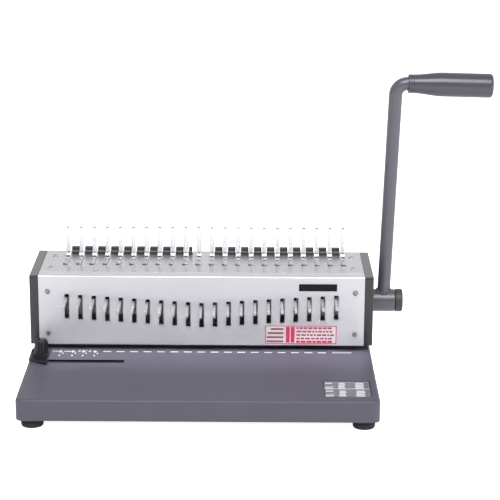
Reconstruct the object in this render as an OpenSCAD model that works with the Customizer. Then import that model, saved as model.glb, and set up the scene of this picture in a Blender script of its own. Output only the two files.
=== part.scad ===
// Manual comb binding machine: lever punch with release pulls and a comb opener.
// Working frame: X to the lever side, Y to the back, Z up.
// X = 0 is the middle of the case, Y = 0 the front of the panel and Z = 0 the top of the base.

/* [Base] */
// Overhang of each end cap over the tray's side
cap_overhang = 1.4; // [0:0.1:3]
// Distance from the back of the case to the tray's rear edge
base_rear = 2.2; // [1.5:0.1:30]
// Height of the tray's folded edge
base_h = 22.3; // [21:0.1:30]
// Distance from the front panel to the tray's front edge
base_reach = 149.8; // [120:0.2:170]
// Sheet thickness of the tray
base_sheet = 1.5; // [1:0.1:2]
// Radius of the tray's upright corners
base_corner = 7; // [3:0.5:12]
// Sheet thickness of the plate that closes the tray from below
bottom_sheet = 1.2; // [0.8:0.1:2]
// Diameter of a rubber foot
foot_d = 22.5; // [16:0.5:26]
// Height of a rubber foot
foot_h = 9.7; // [7:0.1:16]
// Distance of a foot's centre from the tray's edges
foot_inset = 15.2; // [14:0.2:20]

/* [Case] */
// Gap between the hook arms and the side frames
side_gap = 3.525; // [3.2:0.025:12]
// Depth of the case
case_d = 128; // [127:0.5:130]
// Gap between the raised punch bar and the deck's upper face
deck_gap = 6.6; // [5:0.1:20]
// Thickness of an end cap
cap_t = 9.2; // [8:0.1:11]
// Wall of a hollow end cap
cap_wall = 3; // [2:0.1:4]
// Plate thickness of a side frame
frame_t = 3; // [2:0.1:3.4]
// Sheet thickness of the front panel
panel_sheet = 1.5; // [1:0.1:2.5]
// Depth of the panel's folded top strip
panel_fold = 14; // [10:0.5:22]
// Sheet thickness of the deck
deck_sheet = 1.5; // [1:0.1:2]
// Depth of the deck behind the resting hooks
deck_rear = 11.3; // [6:0.1:14]
// Sheet thickness of the rear cover
cover_sheet = 1.2; // [0.8:0.1:1.5]
// Drop from the deck to the rear ledge
ledge_drop = 10.6; // [9:0.1:14]
// Height of the paper throat
throat_h = 6.3; // [5:0.1:7]

/* [Punches] */
// Number of punches
punches = 21; // [19:2:21]
// Spacing of the punches
pitch = 14.2875; // [14.2:0.0025:14.3]
// Width of a punch along the row
punch_w = 8; // [6:0.1:9]
// Thickness of a punch
punch_t = 3; // [2:0.1:3.5]
// Distance from the panel to the punch row
row_y = 25; // [24:0.1:26]
// Distance from the paper's edge to the punched holes
paper_margin = 3.5; // [3:0.1:4.5]
// How much higher the end punches stand than the middle one
stagger = 1.5; // [0:0.1:2]
// Thickness of the punch bar and the guide block
bar_t = 10; // [8:0.1:11]
// Height of the yoke plates above the windows for the eccentrics
yoke_head = 10.8; // [9:0.1:16]
// Width of a slot in the front panel
slot_w = 4.9; // [4.6:0.1:6]
// Height of a slot in the front panel
slot_h = 27.2; // [24:0.1:29]
// Height of the end slots' tops above the base
slot_top = 62.2; // [61:0.1:64]
// Height lost from one slot to the next, towards the middle
slot_step = 0.915; // [0.7:0.005:0.95]

/* [Release pulls] */
// Width of a pull
pull_w = 3; // [2:0.1:3.2]
// Height of a pull
pull_h = 4; // [3:0.1:4.4]
// Reach of a pull in front of the panel
pull_out = 30; // [20:0.5:36]
// Distance from a slot's top to the pull's middle
pull_drop = 5.5; // [5:0.1:7]
// Offset of the pull from the slot's middle
pull_side = 0.8; // [0:0.05:0.9]
// Travel that frees a punch
pull_travel = 6.5; // [6:0.5:7]

/* [Comb opener] */
// Sideways offset of the tines and hooks from the punch row
row_shift = 2.5; // [0:0.1:3]
// Width of a tine
tine_w = 4.5; // [3:0.1:5]
// Thickness of a tine
tine_t = 2; // [1.5:0.1:2.5]
// Height of a tine above the deck
tine_h = 33.4; // [25:0.2:40]
// Distance from the panel to the front of the tines
tine_y = 74; // [70:0.5:76]
// Width of a tine's foot
tine_foot_w = 6; // [5:0.1:7]
// Thickness of a tine's foot
tine_foot_t = 1.6; // [1:0.1:2]
// Length of a tine's foot
tine_foot_d = 34; // [20:0.5:40]
// Width of a hook
hook_w = 8.4; // [6:0.1:8.6]
// Width of the hook beside the deck's bridge in the middle
hook_w_narrow = 3.8; // [3:0.1:5]
// Thickness of a hook
hook_t = 2.5; // [2:0.1:2.6]
// Height of a hook above the deck
hook_rise = 7.7; // [5:0.1:10]
// Gap between the tines and the resting hooks
hook_gap = 6.2; // [5:0.1:9]
// Backward bend at a hook's top
hook_tip = 3.5; // [2:0.1:4]

/* [Lever] */
// Diameter of the main shaft
shaft_d = 14; // [12:0.1:14.6]
// Distance from the panel to the main shaft
shaft_y = 48; // [47.6:0.1:48.4]
// Height of the main shaft above the base
shaft_z = 42.4; // [42:0.1:43]
// Angle that the lever turns
lever_angle = 74; // [68:1:76]
// Offset of the eccentrics that drive the punches
ecc_r = 9.1; // [8:0.1:9.2]
// Radius of the eccentric discs
ecc_disc_r = 17; // [16.8:0.1:17.4]
// Length of the arms that drive the hooks
hook_arm_r = 20; // [19:0.1:20.4]
// Diameter of the pins on these arms
drive_pin_d = 8; // [6:0.1:8.4]
// Diameter of the hub
hub_d = 24.2; // [22:0.1:28]
// Length of the hub
hub_len = 25; // [20:0.1:30]
// Diameter of the pin that holds the hub on the shaft
hub_pin_d = 4; // [3:0.1:5]
// Gap between the case and the hub
hub_gap = 1.1; // [0.6:0.1:3]
// Thickness of the hub's end cap
hub_cap_t = 8.8; // [5:0.1:12]
// Diameter of the lever rod
rod_d = 13.9; // [10:0.1:14]
// Distance from the case to the rod's axis, at the hub
rod_offset = 14.1; // [12:0.1:16]
// Height of the grip's axis above the hub
rod_h = 245; // [180:0.5:280]
// Lean of the upright lever towards the front
lean = 6; // [0:0.5:10]
// Splay of the rod away from the case
splay = 1.2; // [0:0.1:3]
// Centre-line radius of the rod's bend
bend_r = 12; // [10:0.5:20]
// Length of the grip
grip_len = 88.4; // [70:0.2:110]
// Diameter of the grip's inner end
grip_d1 = 19.7; // [18:0.1:22]
// Diameter of the grip's thick part
grip_d2 = 25; // [22:0.1:30]

/* [Edge guide and drawer] */
// Width of the guide's groove in the base
groove_w = 5.5; // [4:0.1:7]
// Distance from the panel forward to the groove
groove_y = 36; // [30:0.5:40]
// Distance of the guide from the tray's side
guide_margin = 12.7; // [12:0.1:16]
// Distance of the groove's inner end from the middle
groove_end = 80.8; // [60:0.2:120]
// Diameter of the guide's knob
knob_d = 15; // [12:0.5:18]
// Height of the guide above the base
knob_h = 20.6; // [16:0.1:30]
// Gap between the chip drawer and the screw posts of the feet
drawer_margin = 11.5; // [2:0.5:20]
// Travel of the chip drawer
drawer_travel = 100; // [60:1:110]

/* [Clearances] */
// Gap between sliding pieces
slide_gap = 0.3; // [0.2:0.05:0.35]
// Radial gap of a running fit
run_gap = 0.05; // [0.02:0.01:0.08]
// Radial gap of a fixed fit
fix_gap = 0.02; // [0.01:0.01:0.04]
// Gap between a sheet and its neighbours
sheet_gap = 0.2; // [0.1:0.05:0.4]
// Gap around a hook-drive pin in its slot
pin_gap = 0.4; // [0.35:0.05:0.45]

/* [Hidden] */
$fn = 64;
eps = 0.01;

// Eccentrics and the levels that follow from them
half_swing = lever_angle / 2;
ecc_y = shaft_y - ecc_r * cos(half_swing);
ecc_z = shaft_z + ecc_r * sin(half_swing);
window_y0 = shaft_y - ecc_r - ecc_disc_r - slide_gap;
window_y1 = ecc_y + ecc_disc_r + slide_gap;
window_h = 2 * (ecc_disc_r + slide_gap);
bar_top = ecc_z + window_h / 2 + yoke_head;
case_h = bar_top + deck_gap;
ledge_z = case_h - ledge_drop;
deck_under = case_h - deck_sheet;
ledge_under = ledge_z - cover_sheet;

// Punch row
middle = (punches - 1) / 2;
row_half = middle * pitch + punch_w / 2 + 3;
stroke = 2 * ecc_r * sin(half_swing);
bar_y = row_y - bar_t / 2;
bar_half = row_half + 1;
bar_margin = 14;
block_gap = 0.4;
pull_z_low = slot_top - slot_step * middle - pull_drop;
bar_bottom = pull_z_low - bar_margin;
block_top = bar_bottom - stroke - block_gap;
stop_y = row_y + punch_t / 2 + paper_margin;
spacer_d = 8;
spacer_back = stop_y + spacer_d;
throat_back = spacer_back + 6;
lug_w = 11;
lug_t = 3.2;
lug_half = row_half + lug_w;
die_t = 6;
die_lip = 2;
die_rim = 5;
pull_back = row_y + punch_t / 2 + 2;

// Yoke plates, hook slides, hook arms, side frames and end caps, from the middle outwards
yoke_t = 4.6;
yoke_wall = 5;
yoke_x = bar_half;
slide_t = 4;
slide_x = yoke_x + yoke_t + 1.8;
arm_t = 4.5;
arm_x = slide_x + slide_t + 0.6;
frame_x = arm_x + arm_t + side_gap;
cap_x = frame_x + frame_t;
case_w = 2 * (cap_x + cap_t);
panel_half = cap_x - sheet_gap;

// Hook drive, from the tines to the deck's rear edge
hook_y = tine_y + tine_t + hook_gap;
hook_travel = 2 * hook_arm_r * sin(half_swing);
hook_slot_gap = 0.5;
deck_d = hook_y + hook_t + deck_rear;
drive_y = shaft_y - hook_arm_r * sin(half_swing);
drive_z = shaft_z - hook_arm_r * cos(half_swing);
drive_slot_z0 = shaft_z - hook_arm_r - drive_pin_d / 2 - pin_gap;
drive_slot_z1 = drive_z + drive_pin_d / 2 + pin_gap;
rack_top = ledge_under - 2.8;
rack_bottom = shaft_z - 2.4;
slide_z = drive_slot_z0 - 6;
slide_wall = 3;
stud_d = 8;
stud_z = slide_z + 8;
stud_ys = [hook_y - 28.2, hook_y - 6.2];
bush_d = shaft_d + 6;
bush_flange = 1.5;
ring_t = 1.2;

// Tray around the case
flange_t = 3;
flange_w = 12.9;
base_w = case_w - 2 * cap_overhang;
base_d = base_reach + case_d + base_rear;
base_front = -base_reach;
base_back = case_d + base_rear;
post_d = 12;
foot_seat = 4;
foot_screw_reach = 12;
drawer_w = base_w - 2 * (foot_inset + post_d / 2 + drawer_margin);
guide_x = base_w / 2 - guide_margin;

// Lever
hub_x = case_w / 2 + hub_gap;
rod_x = case_w / 2 + rod_offset;
hub_cap_d = hub_d + 0.8;
hub_cap_bevel = 1.5;
rod_straight = rod_h / cos(splay) - bend_r;
corner_x = rod_x + rod_h * tan(splay);
grip_gap = 0.3;
grip_round = 2.5;
grip_end = bend_r + grip_gap + grip_len;

// Overall box, which sets the origin
x_max = corner_x + (grip_end - grip_round) * cos(splay)
      + (grip_d2 / 2 - grip_round) * sin(splay) + grip_round;
drawer_lip = 5;
origin_shift = [-(x_max - case_w / 2) / 2, -(base_front + base_back + drawer_lip) / 2, base_h + foot_h];

// Screws
screw_d = 3;
screw_head_d = 5.8;
yoke_head_d = 4.6;
bolt_d = 4;
bolt_head_d = 7;
panel_screw_x = frame_x - 6.9;
panel_screw_zs = [throat_h + 12.7, case_h - 17.6];
deck_screw_x = frame_x - 7.9;
deck_screw_ys = [panel_fold + 17, deck_d - 22.5];
rear_screw_zs = [12, ledge_z - 12];
rear_screw_x = frame_x - 4;
foot_screw_ys = [throat_back + 6, case_d - 14];
foot_screw_x = frame_x - flange_w / 2;
die_bolt_ys = [bar_y + 3.5, stop_y + spacer_d / 2];
die_bolt_x = row_half + 6.2;

// Labels and badge: corner, width and height
badge = [panel_half - 69.7, case_h - 15.5, 40.3, 7.7];
capacity = [panel_half - 105.2, throat_h + 1.6, 76.4, 20.9];
size_label = [base_w / 2 - 55.2, base_front + 14.8, 48, 44];
label_t = 0.25;
badge_t = 0.8;
recess = 0.9;

function pull_name(k) = str("release_pull_", k < 9 ? "0" : "", k + 1);
function punch_x(k) = (k - middle) * pitch;
function tine_x(k) = punch_x(k) - pitch / 2 + row_shift;
// The left edge and the width of each hook; the middle one is left out
function hook_x(k) = punch_x(k) + row_shift - hook_w / 2;
function hook_width(k) = k == middle - 1 ? hook_w_narrow : hook_w;
function hook_ks() = [for (k = [0 : punches - 1]) if (k != middle) k];
function vee(k) = slot_step * (middle - abs(k - middle));
function pull_z(k) = slot_top - vee(k) - pull_drop;
function tip_z(k) = throat_h + block_gap + stagger * abs(k - middle) / middle;

// Moves a piece from the working frame to the model's own origin
module in_frame() translate(origin_shift) children();

// Makes a piece and its twin on the other side
module both_sides() {
    children();
    mirror([1, 0, 0]) children();
}

// A plate that stands across X, from x to x + t, drawn in Y and Z
module side_plate(x, t) translate([x, 0, 0]) rotate([90, 0, 90]) linear_extrude(t) children();

// A round bar along X, from x0 to x1
module x_bar(x0, x1, y, z, d) translate([x0, y, z]) rotate([0, 90, 0]) cylinder(d = d, h = x1 - x0);

// A rectangle with round corners
module round_rect(x0, y0, w, d, r) {
    translate([x0 + r, y0]) square([w - 2 * r, d]);
    translate([x0, y0 + r]) square([w, d - 2 * r]);
    for (x = [x0 + r, x0 + w - r], y = [y0 + r, y0 + d - r]) translate([x, y]) circle(r);
}

// A screw that points down from its head's seat at z = 0
module screw(d, head_d, head_h, length) {
    cylinder(d = head_d, h = head_h);
    translate([0, 0, -length]) cylinder(d = d, h = length + eps);
}

// ---- Base ----

module tray_shape(inset) {
    round_rect(-base_w / 2 + inset, base_front + inset, base_w - 2 * inset, base_d - 2 * inset,
               base_corner - inset);
}

module at_feet() {
    for (x = [-1, 1] * (base_w / 2 - foot_inset), y = [base_front + foot_inset, base_back - foot_inset])
        translate([x, y, -base_h]) children();
}

module base_tray() color("#6c6a76") in_frame() difference() {
    union() {
        difference() {
            translate([0, 0, -base_h]) linear_extrude(base_h) tray_shape(0);
            translate([0, 0, -base_h - 1]) linear_extrude(base_h + 1 - base_sheet) tray_shape(base_sheet);
        }
        at_feet() translate([0, 0, bottom_sheet])
            cylinder(d = post_d, h = base_h - bottom_sheet - base_sheet / 2);
    }
    at_feet() cylinder(d = bolt_d + 2 * run_gap, h = foot_screw_reach + 2);
    // opening for the die strip
    translate([-row_half - die_lip, bar_y - die_lip, -base_sheet - 1])
        cube([2 * (row_half + die_lip), spacer_back - bar_y, base_sheet + 2]);
    // groove of the edge guide
    translate([-guide_x - groove_w / 2, -groove_y - groove_w / 2, -base_sheet - 1])
        cube([guide_x + groove_w / 2 - groove_end, groove_w, base_sheet + 2]);
    // opening for the chip drawer
    translate([-drawer_w / 2 - slide_gap, base_back - base_sheet - 1, -base_h + bottom_sheet])
        cube([drawer_w + 2 * slide_gap, base_sheet + 2, base_h - bottom_sheet - drawer_top_gap()]);
    translate([size_label[0], size_label[1], -recess]) cube([size_label[2], size_label[3], recess + 1]);
    both_sides() {
        for (y = foot_screw_ys) translate([foot_screw_x, y, -9]) cylinder(d = bolt_d + 2 * run_gap, h = 10);
        for (y = die_bolt_ys) translate([die_bolt_x, y, -9]) cylinder(d = bolt_d + 2 * run_gap, h = 10);
    }
}

function drawer_top_gap() = base_sheet + die_t - 0.7;

module bottom_plate() color("#3c3c42") in_frame() translate([0, 0, -base_h]) difference() {
    linear_extrude(bottom_sheet) tray_shape(base_sheet + sheet_gap);
    translate([0, 0, base_h - 1]) at_feet() cylinder(d = bolt_d + 2 * run_gap, h = 3);
}

module feet() color("#1d1d20") in_frame() at_feet() translate([0, 0, -foot_h]) difference() {
    union() {
        cylinder(d1 = foot_d - 3, d2 = foot_d, h = 2);
        translate([0, 0, 2]) cylinder(d = foot_d, h = foot_h - 2);
    }
    translate([0, 0, -1]) cylinder(d = bolt_head_d + 2, h = foot_h - foot_seat + 1);
    cylinder(d = bolt_d + 2 * run_gap, h = foot_h + 1);
}

module foot_screws() color("#b9bbc0") in_frame() at_feet() translate([0, 0, -foot_seat])
    mirror([0, 0, 1]) screw(bolt_d, bolt_head_d, 2.4, foot_seat + foot_screw_reach);

// ---- Case ----

// Outline of the case seen from the side, in Y and Z, drawn inwards by each sheet
module case_outline(front, top, step, ledge, back, foot, notch) {
    polygon([[front, throat_h + notch], [front, top], [step, top], [step, ledge], [back, ledge],
             [back, foot], [throat_back + notch, foot], [throat_back + notch, throat_h + notch]]);
}

module frame_side() difference() {
    union() {
        side_plate(frame_x, frame_t)
            case_outline(panel_sheet, deck_under, deck_d - deck_sheet, ledge_under, case_d - cover_sheet,
                         0, 0);
        // flanges for the panel, the deck, the rear cover and the base
        translate([frame_x - flange_w, panel_sheet, throat_h])
            cube([flange_w + eps, flange_t, deck_under - throat_h]);
        translate([frame_x - flange_w, panel_sheet, deck_under - flange_t])
            cube([flange_w + eps, deck_d - deck_sheet - panel_sheet, flange_t]);
        translate([frame_x - 8, case_d - cover_sheet - flange_t, 0])
            cube([8 + eps, flange_t, ledge_under]);
        translate([frame_x - flange_w, throat_back, 0])
            cube([flange_w + eps, case_d - 8 - throat_back, flange_t]);
    }
    x_bar(frame_x - 1, cap_x + 1, shaft_y, shaft_z, bush_d + 2 * fix_gap);
    // slot for the hook carriage's studs
    translate([frame_x - 1, stud_ys[0] - stud_d / 2 - run_gap, stud_z - stud_d / 2 - run_gap])
        cube([frame_t + 2, stud_ys[1] - stud_ys[0] + hook_travel + stud_d + 2 * run_gap,
              stud_d + 2 * run_gap]);
    for (z = panel_screw_zs)
        translate([panel_screw_x, 0, z]) rotate([-90, 0, 0]) cylinder(d = screw_d + 2 * run_gap, h = 8);
    for (y = deck_screw_ys)
        translate([deck_screw_x, y, deck_under - 8]) cylinder(d = screw_d + 2 * run_gap, h = 9);
    for (z = rear_screw_zs)
        translate([rear_screw_x, case_d, z]) rotate([90, 0, 0]) cylinder(d = screw_d + 2 * run_gap, h = 8);
    for (y = foot_screw_ys) translate([foot_screw_x, y, -1]) cylinder(d = bolt_d + 2 * run_gap, h = 9);
}

module left_frame() color("#8d9096") in_frame() mirror([1, 0, 0]) frame_side();
module right_frame() color("#8d9096") in_frame() frame_side();

module end_cap() difference() {
    side_plate(cap_x, cap_t) case_outline(0, case_h, deck_d, ledge_z, case_d, 0, 0);
    side_plate(cap_x - 1, cap_t - cap_wall + 1)
        case_outline(cap_wall, case_h - cap_wall, deck_d - cap_wall, ledge_z - cap_wall, case_d - cap_wall,
                     cap_wall, cap_wall);
}

module left_end_cap() color("#46464c") in_frame() mirror([1, 0, 0]) end_cap();
module right_end_cap() color("#46464c") in_frame() difference() {
    end_cap();
    x_bar(cap_x, case_w / 2 + 1, shaft_y, shaft_z, shaft_d + 2);
}

module front_panel() color("#d4d6dc") in_frame() difference() {
    union() {
        translate([-panel_half, 0, throat_h]) cube([2 * panel_half, panel_sheet, case_h - throat_h]);
        translate([-panel_half, 0, deck_under]) cube([2 * panel_half, panel_fold, deck_sheet]);
    }
    for (k = [0 : punches - 1])
        translate([punch_x(k) - slot_w / 2, -1, slot_top - vee(k) - slot_h])
            cube([slot_w, panel_sheet + 2, slot_h]);
    both_sides() for (z = panel_screw_zs)
        translate([panel_screw_x, -1, z]) rotate([-90, 0, 0]) cylinder(d = screw_d + 2 * run_gap, h = 8);
}

// Slots for the hooks' stems and their travel, from height z0 to z1
module hook_slots(z0, z1) for (k = hook_ks())
    translate([hook_x(k) - hook_slot_gap, hook_y - hook_slot_gap, z0])
        cube([hook_width(k) + 2 * hook_slot_gap, hook_t + hook_travel + 2 * hook_slot_gap, z1 - z0]);

module top_cover() color("#dcdde2") in_frame() difference() {
    union() {
        translate([-panel_half, panel_fold + sheet_gap, deck_under])
            cube([2 * panel_half, deck_d - panel_fold - sheet_gap, deck_sheet]);
        translate([-panel_half, deck_d - deck_sheet, ledge_z])
            cube([2 * panel_half, deck_sheet, ledge_drop]);
    }
    hook_slots(ledge_z - 1, case_h + 1);
    both_sides() for (y = deck_screw_ys)
        translate([deck_screw_x, y, deck_under - 1]) cylinder(d = screw_d + 2 * run_gap, h = deck_sheet + 2);
}

module rear_cover() color("#55565c") in_frame() difference() {
    union() {
        translate([-panel_half, deck_d - deck_sheet, ledge_under])
            cube([2 * panel_half, case_d - deck_d + deck_sheet, cover_sheet]);
        translate([-panel_half, case_d - cover_sheet, 0]) cube([2 * panel_half, cover_sheet, ledge_z]);
    }
    hook_slots(ledge_under - 1, ledge_z + 1);
    both_sides() for (z = rear_screw_zs)
        translate([rear_screw_x, case_d + 1, z]) rotate([90, 0, 0])
            cylinder(d = screw_d + 2 * run_gap, h = 5);
}

module case_screws() color("#c6c8cc") in_frame() both_sides() {
    for (z = panel_screw_zs)
        translate([panel_screw_x, 0, z]) rotate([90, 0, 0]) screw(screw_d, screw_head_d, 1.4, 6);
    for (y = deck_screw_ys) translate([deck_screw_x, y, case_h]) screw(screw_d, screw_head_d, 1.2, 6);
    for (z = rear_screw_zs)
        translate([rear_screw_x, case_d, z]) rotate([-90, 0, 0]) screw(screw_d, screw_head_d, 1.4, 6);
    for (y = foot_screw_ys) translate([foot_screw_x, y, flange_t]) screw(bolt_d, bolt_head_d, 2.4, 9);
}

module badge_plate() color("#26262a") in_frame()
    translate([badge[0], -badge_t, badge[1]]) cube([badge[2], badge_t, badge[3]]);

module labels() color("#e3cfd2") in_frame() {
    translate([capacity[0], -label_t, capacity[1]]) cube([capacity[2], label_t, capacity[3]]);
    translate([size_label[0] + sheet_gap, size_label[1] + sheet_gap, -recess])
        cube([size_label[2] - 2 * sheet_gap, size_label[3] - 2 * sheet_gap, label_t]);
}

// ---- Die set ----

// Openings for the row of punches, from z0 to z1
module punch_holes(z0, z1, gap) for (k = [0 : punches - 1])
    translate([punch_x(k) - punch_w / 2 - gap, row_y - punch_t / 2 - gap, z0])
        cube([punch_w + 2 * gap, punch_t + 2 * gap, z1 - z0]);

module die_bolt_holes(z0, z1) both_sides() for (y = die_bolt_ys)
    translate([die_bolt_x, y, z0]) cylinder(d = bolt_d + 2 * run_gap, h = z1 - z0);

module die_plate() color("#85878c") in_frame() difference() {
    union() {
        translate([-lug_half, bar_y - die_rim, -base_sheet - die_t])
            cube([2 * lug_half, spacer_back - bar_y + 2 * die_rim, die_t]);
        translate([-row_half - die_lip + sheet_gap, bar_y - die_lip + sheet_gap, -base_sheet])
            cube([2 * (row_half + die_lip - sheet_gap), spacer_back - bar_y - 2 * sheet_gap, base_sheet]);
    }
    punch_holes(-base_sheet - die_t - 1, 1, run_gap);
    die_bolt_holes(-base_sheet - die_t - 1, 1);
}

module throat_spacer() color("#3a3a3f") in_frame() difference() {
    union() {
        translate([-lug_half, stop_y, 0]) cube([2 * lug_half, spacer_d, throat_h]);
        both_sides() translate([row_half + 0.6, bar_y, 0])
            cube([lug_half - row_half - 0.6, stop_y - bar_y + eps, throat_h]);
    }
    die_bolt_holes(-1, throat_h + 1);
}

module guide_block() color("#26262a") in_frame() difference() {
    union() {
        translate([-row_half, bar_y, throat_h]) cube([2 * row_half, bar_t + 1, block_top - throat_h]);
        translate([-lug_half, bar_y, throat_h]) cube([2 * lug_half, bar_t, lug_t]);
    }
    punch_holes(throat_h - 1, block_top + 1, run_gap);
    both_sides() translate([die_bolt_x, die_bolt_ys[0], throat_h - 1])
        cylinder(d = bolt_d + 2 * run_gap, h = lug_t + 2);
}

module die_bolts() color("#4a4b50") in_frame() both_sides() {
    translate([die_bolt_x, die_bolt_ys[0], throat_h + lug_t])
        screw(bolt_d, bolt_head_d, 2.4, lug_t + throat_h + base_sheet + die_t - 0.5);
    translate([die_bolt_x, die_bolt_ys[1], throat_h])
        screw(bolt_d, bolt_head_d, 2.4, throat_h + base_sheet + die_t - 0.5);
}

// ---- Punch carriage ----

module punch_bar() color("#85888e") in_frame() difference() {
    translate([-bar_half, bar_y, bar_bottom]) cube([2 * bar_half, bar_t, bar_top - bar_bottom]);
    punch_holes(0, bar_top + 1, run_gap);
    for (k = [0 : punches - 1]) pull_hole(k, bar_y - 1, pull_back + slide_gap);
    both_sides() for (y = [-1, 1] * bar_t / 4)
        x_bar(bar_half - 8, bar_half + 1, row_y + y, yoke_screw_z(), screw_d + 2 * run_gap);
}

function yoke_screw_z() = bar_top - 5;

// Passage of one pull, from y0 to y1
module pull_hole(k, y0, y1) {
    gap = 2 * run_gap;
    translate([punch_x(k) - pull_side - pull_w / 2 - gap, y0, pull_z(k) - pull_h / 2 - gap])
        cube([pull_w + 2 * gap, y1 - y0, pull_h + 2 * gap]);
}

module punch_pins() color("#b4b6ba") in_frame() for (k = [0 : punches - 1]) difference() {
    translate([punch_x(k) - punch_w / 2, row_y - punch_t / 2, tip_z(k)])
        cube([punch_w, punch_t, pull_z(k) + pull_h / 2 + 4 - tip_z(k)]);
    pull_hole(k, row_y - punch_t, row_y + punch_t);
}

module yoke_plates() color("#7d8086") in_frame() both_sides() difference() {
    side_plate(yoke_x, yoke_t) difference() {
        translate([window_y0 - yoke_wall - 4, ecc_z - window_h / 2 - yoke_wall])
            square([window_y1 - window_y0 + 2 * yoke_wall + 4, bar_top - ecc_z + window_h / 2 + yoke_wall]);
        translate([window_y0, ecc_z - window_h / 2]) square([window_y1 - window_y0, window_h]);
    }
    for (y = [-1, 1] * bar_t / 4)
        x_bar(yoke_x - 1, yoke_x + yoke_t + 1, row_y + y, yoke_screw_z(), screw_d + 2 * run_gap);
}

module yoke_screws() color("#b9bbc0") in_frame() both_sides() for (y = [-1, 1] * bar_t / 4)
    translate([yoke_x + yoke_t, row_y + y, yoke_screw_z()]) rotate([0, 90, 0])
        screw(screw_d, yoke_head_d, 1.4, yoke_t + 6);

module release_pull(k) color("#d9dade") in_frame() {
    translate([punch_x(k) - pull_side - pull_w / 2, -pull_out, pull_z(k) - pull_h / 2])
        cube([pull_w, pull_out + pull_back, pull_h]);
}

// ---- Lever and main shaft ----

module main_shaft() color("#a9abb0") in_frame() difference() {
    x_bar(-cap_x - 1.5, hub_x + hub_len - 0.2, shaft_y, shaft_z, shaft_d);
    hub_pin_bar(hub_pin_d + 2 * fix_gap, 2);
}

module shaft_bushes() color("#b08d4f") in_frame() both_sides() difference() {
    union() {
        x_bar(frame_x - bush_flange, frame_x, shaft_y, shaft_z, bush_d + 6);
        x_bar(frame_x - eps, cap_x + 2, shaft_y, shaft_z, bush_d);
    }
    x_bar(frame_x - bush_flange - 1, cap_x + 3, shaft_y, shaft_z, shaft_d + 2 * run_gap);
}

module shaft_rings() color("#4a4b50") in_frame() both_sides() difference() {
    x_bar(frame_x - bush_flange - slide_gap - ring_t, frame_x - bush_flange - slide_gap,
          shaft_y, shaft_z, shaft_d + 5);
    x_bar(arm_x, frame_x, shaft_y, shaft_z, shaft_d + 2 * fix_gap);
}

module eccentrics() color("#6f7278") in_frame() both_sides() difference() {
    union() {
        x_bar(yoke_x + 0.2, yoke_x + yoke_t - 0.2, ecc_y, ecc_z, 2 * ecc_disc_r);
        x_bar(yoke_x - 5, yoke_x + 0.2 + eps, shaft_y, shaft_z, shaft_d + 5);
    }
    x_bar(yoke_x - 6, yoke_x + yoke_t + 1, shaft_y, shaft_z, shaft_d + 2 * fix_gap);
}

module hook_arms() color("#6f7278") in_frame() both_sides() {
    side_plate(arm_x, arm_t) difference() {
        union() {
            translate([shaft_y, shaft_z]) circle(d = shaft_d + 8);
            translate([drive_y, drive_z]) circle(d = drive_pin_d + 5);
            translate([shaft_y, shaft_z]) rotate(-half_swing)
                translate([-5.5, 3 - hook_arm_r]) square([11, hook_arm_r - 6]);
        }
        translate([shaft_y, shaft_z]) circle(d = shaft_d + 2 * fix_gap);
    }
    x_bar(slide_x - 0.8, arm_x + eps, drive_y, drive_z, drive_pin_d);
}

// Places a piece in the upright lever's plane: Z along the rod, X away from the case
module in_lever() translate([rod_x, shaft_y, shaft_z]) rotate([lean, 0, 0]) rotate([0, splay, 0]) children();

// Places a piece on the grip's axis, with Z along it from the end of the bend
module on_grip() in_lever() translate([bend_r, 0, rod_straight]) rotate([0, 90, 0])
    translate([-bend_r, 0, 0]) children();

module lever_arm() color("#6c6a76") in_frame() difference() {
    union() {
        x_bar(hub_x, hub_x + hub_len, shaft_y, shaft_z, hub_d);
        in_lever() {
            cylinder(d = rod_d, h = rod_straight);
            translate([bend_r, 0, rod_straight]) rotate([90, 0, 0]) rotate([0, 0, 90])
                rotate_extrude(angle = 90) translate([bend_r, 0]) circle(d = rod_d);
        }
        on_grip() cylinder(d = rod_d, h = grip_gap + grip_len - 10);
    }
    x_bar(hub_x - 1, hub_x + hub_len + 1, shaft_y, shaft_z, shaft_d + 2 * fix_gap);
    hub_pin_bar(hub_pin_d + 2 * fix_gap, 2);
}

// Cross pin through the hub and the shaft, from the back, drawn over by more at each end
module hub_pin_bar(d, more) translate([hub_x + 3.2, shaft_y - hub_d / 2 + 3 - more, shaft_z])
    rotate([-90, 0, 0]) cylinder(d = d, h = hub_d - 3.4 + 2 * more);

module hub_pin() color("#8d9096") in_frame() hub_pin_bar(hub_pin_d, 0);

module lever_grip() color("#55545e") in_frame() on_grip() translate([0, 0, grip_gap])
rotate_extrude() difference() {
    union() {
        polygon([[0, 0], [grip_d1 / 2 - 0.6, 0], [grip_d1 / 2, 0.6], [grip_d1 / 2, 2],
                 [grip_d2 / 2, grip_len * 0.37], [grip_d2 / 2, grip_len - grip_round],
                 [grip_d2 / 2 - grip_round, grip_len], [0, grip_len]]);
        translate([grip_d2 / 2 - grip_round, grip_len - grip_round]) circle(grip_round);
    }
    translate([-1, -1]) square([rod_d / 2 + fix_gap + 1, grip_len - 9]);
    translate([-2 * grip_d2, 0]) square([2 * grip_d2, grip_len]);
}

module hub_cap() color("#3c3c42") in_frame()
translate([hub_x + hub_len, shaft_y, shaft_z]) rotate([0, 90, 0]) {
    cylinder(d = hub_cap_d, h = hub_cap_t - hub_cap_bevel);
    translate([0, 0, hub_cap_t - hub_cap_bevel])
        cylinder(d1 = hub_cap_d, d2 = hub_cap_d - 2 * hub_cap_bevel, h = hub_cap_bevel);
}

// ---- Comb opener ----

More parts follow.
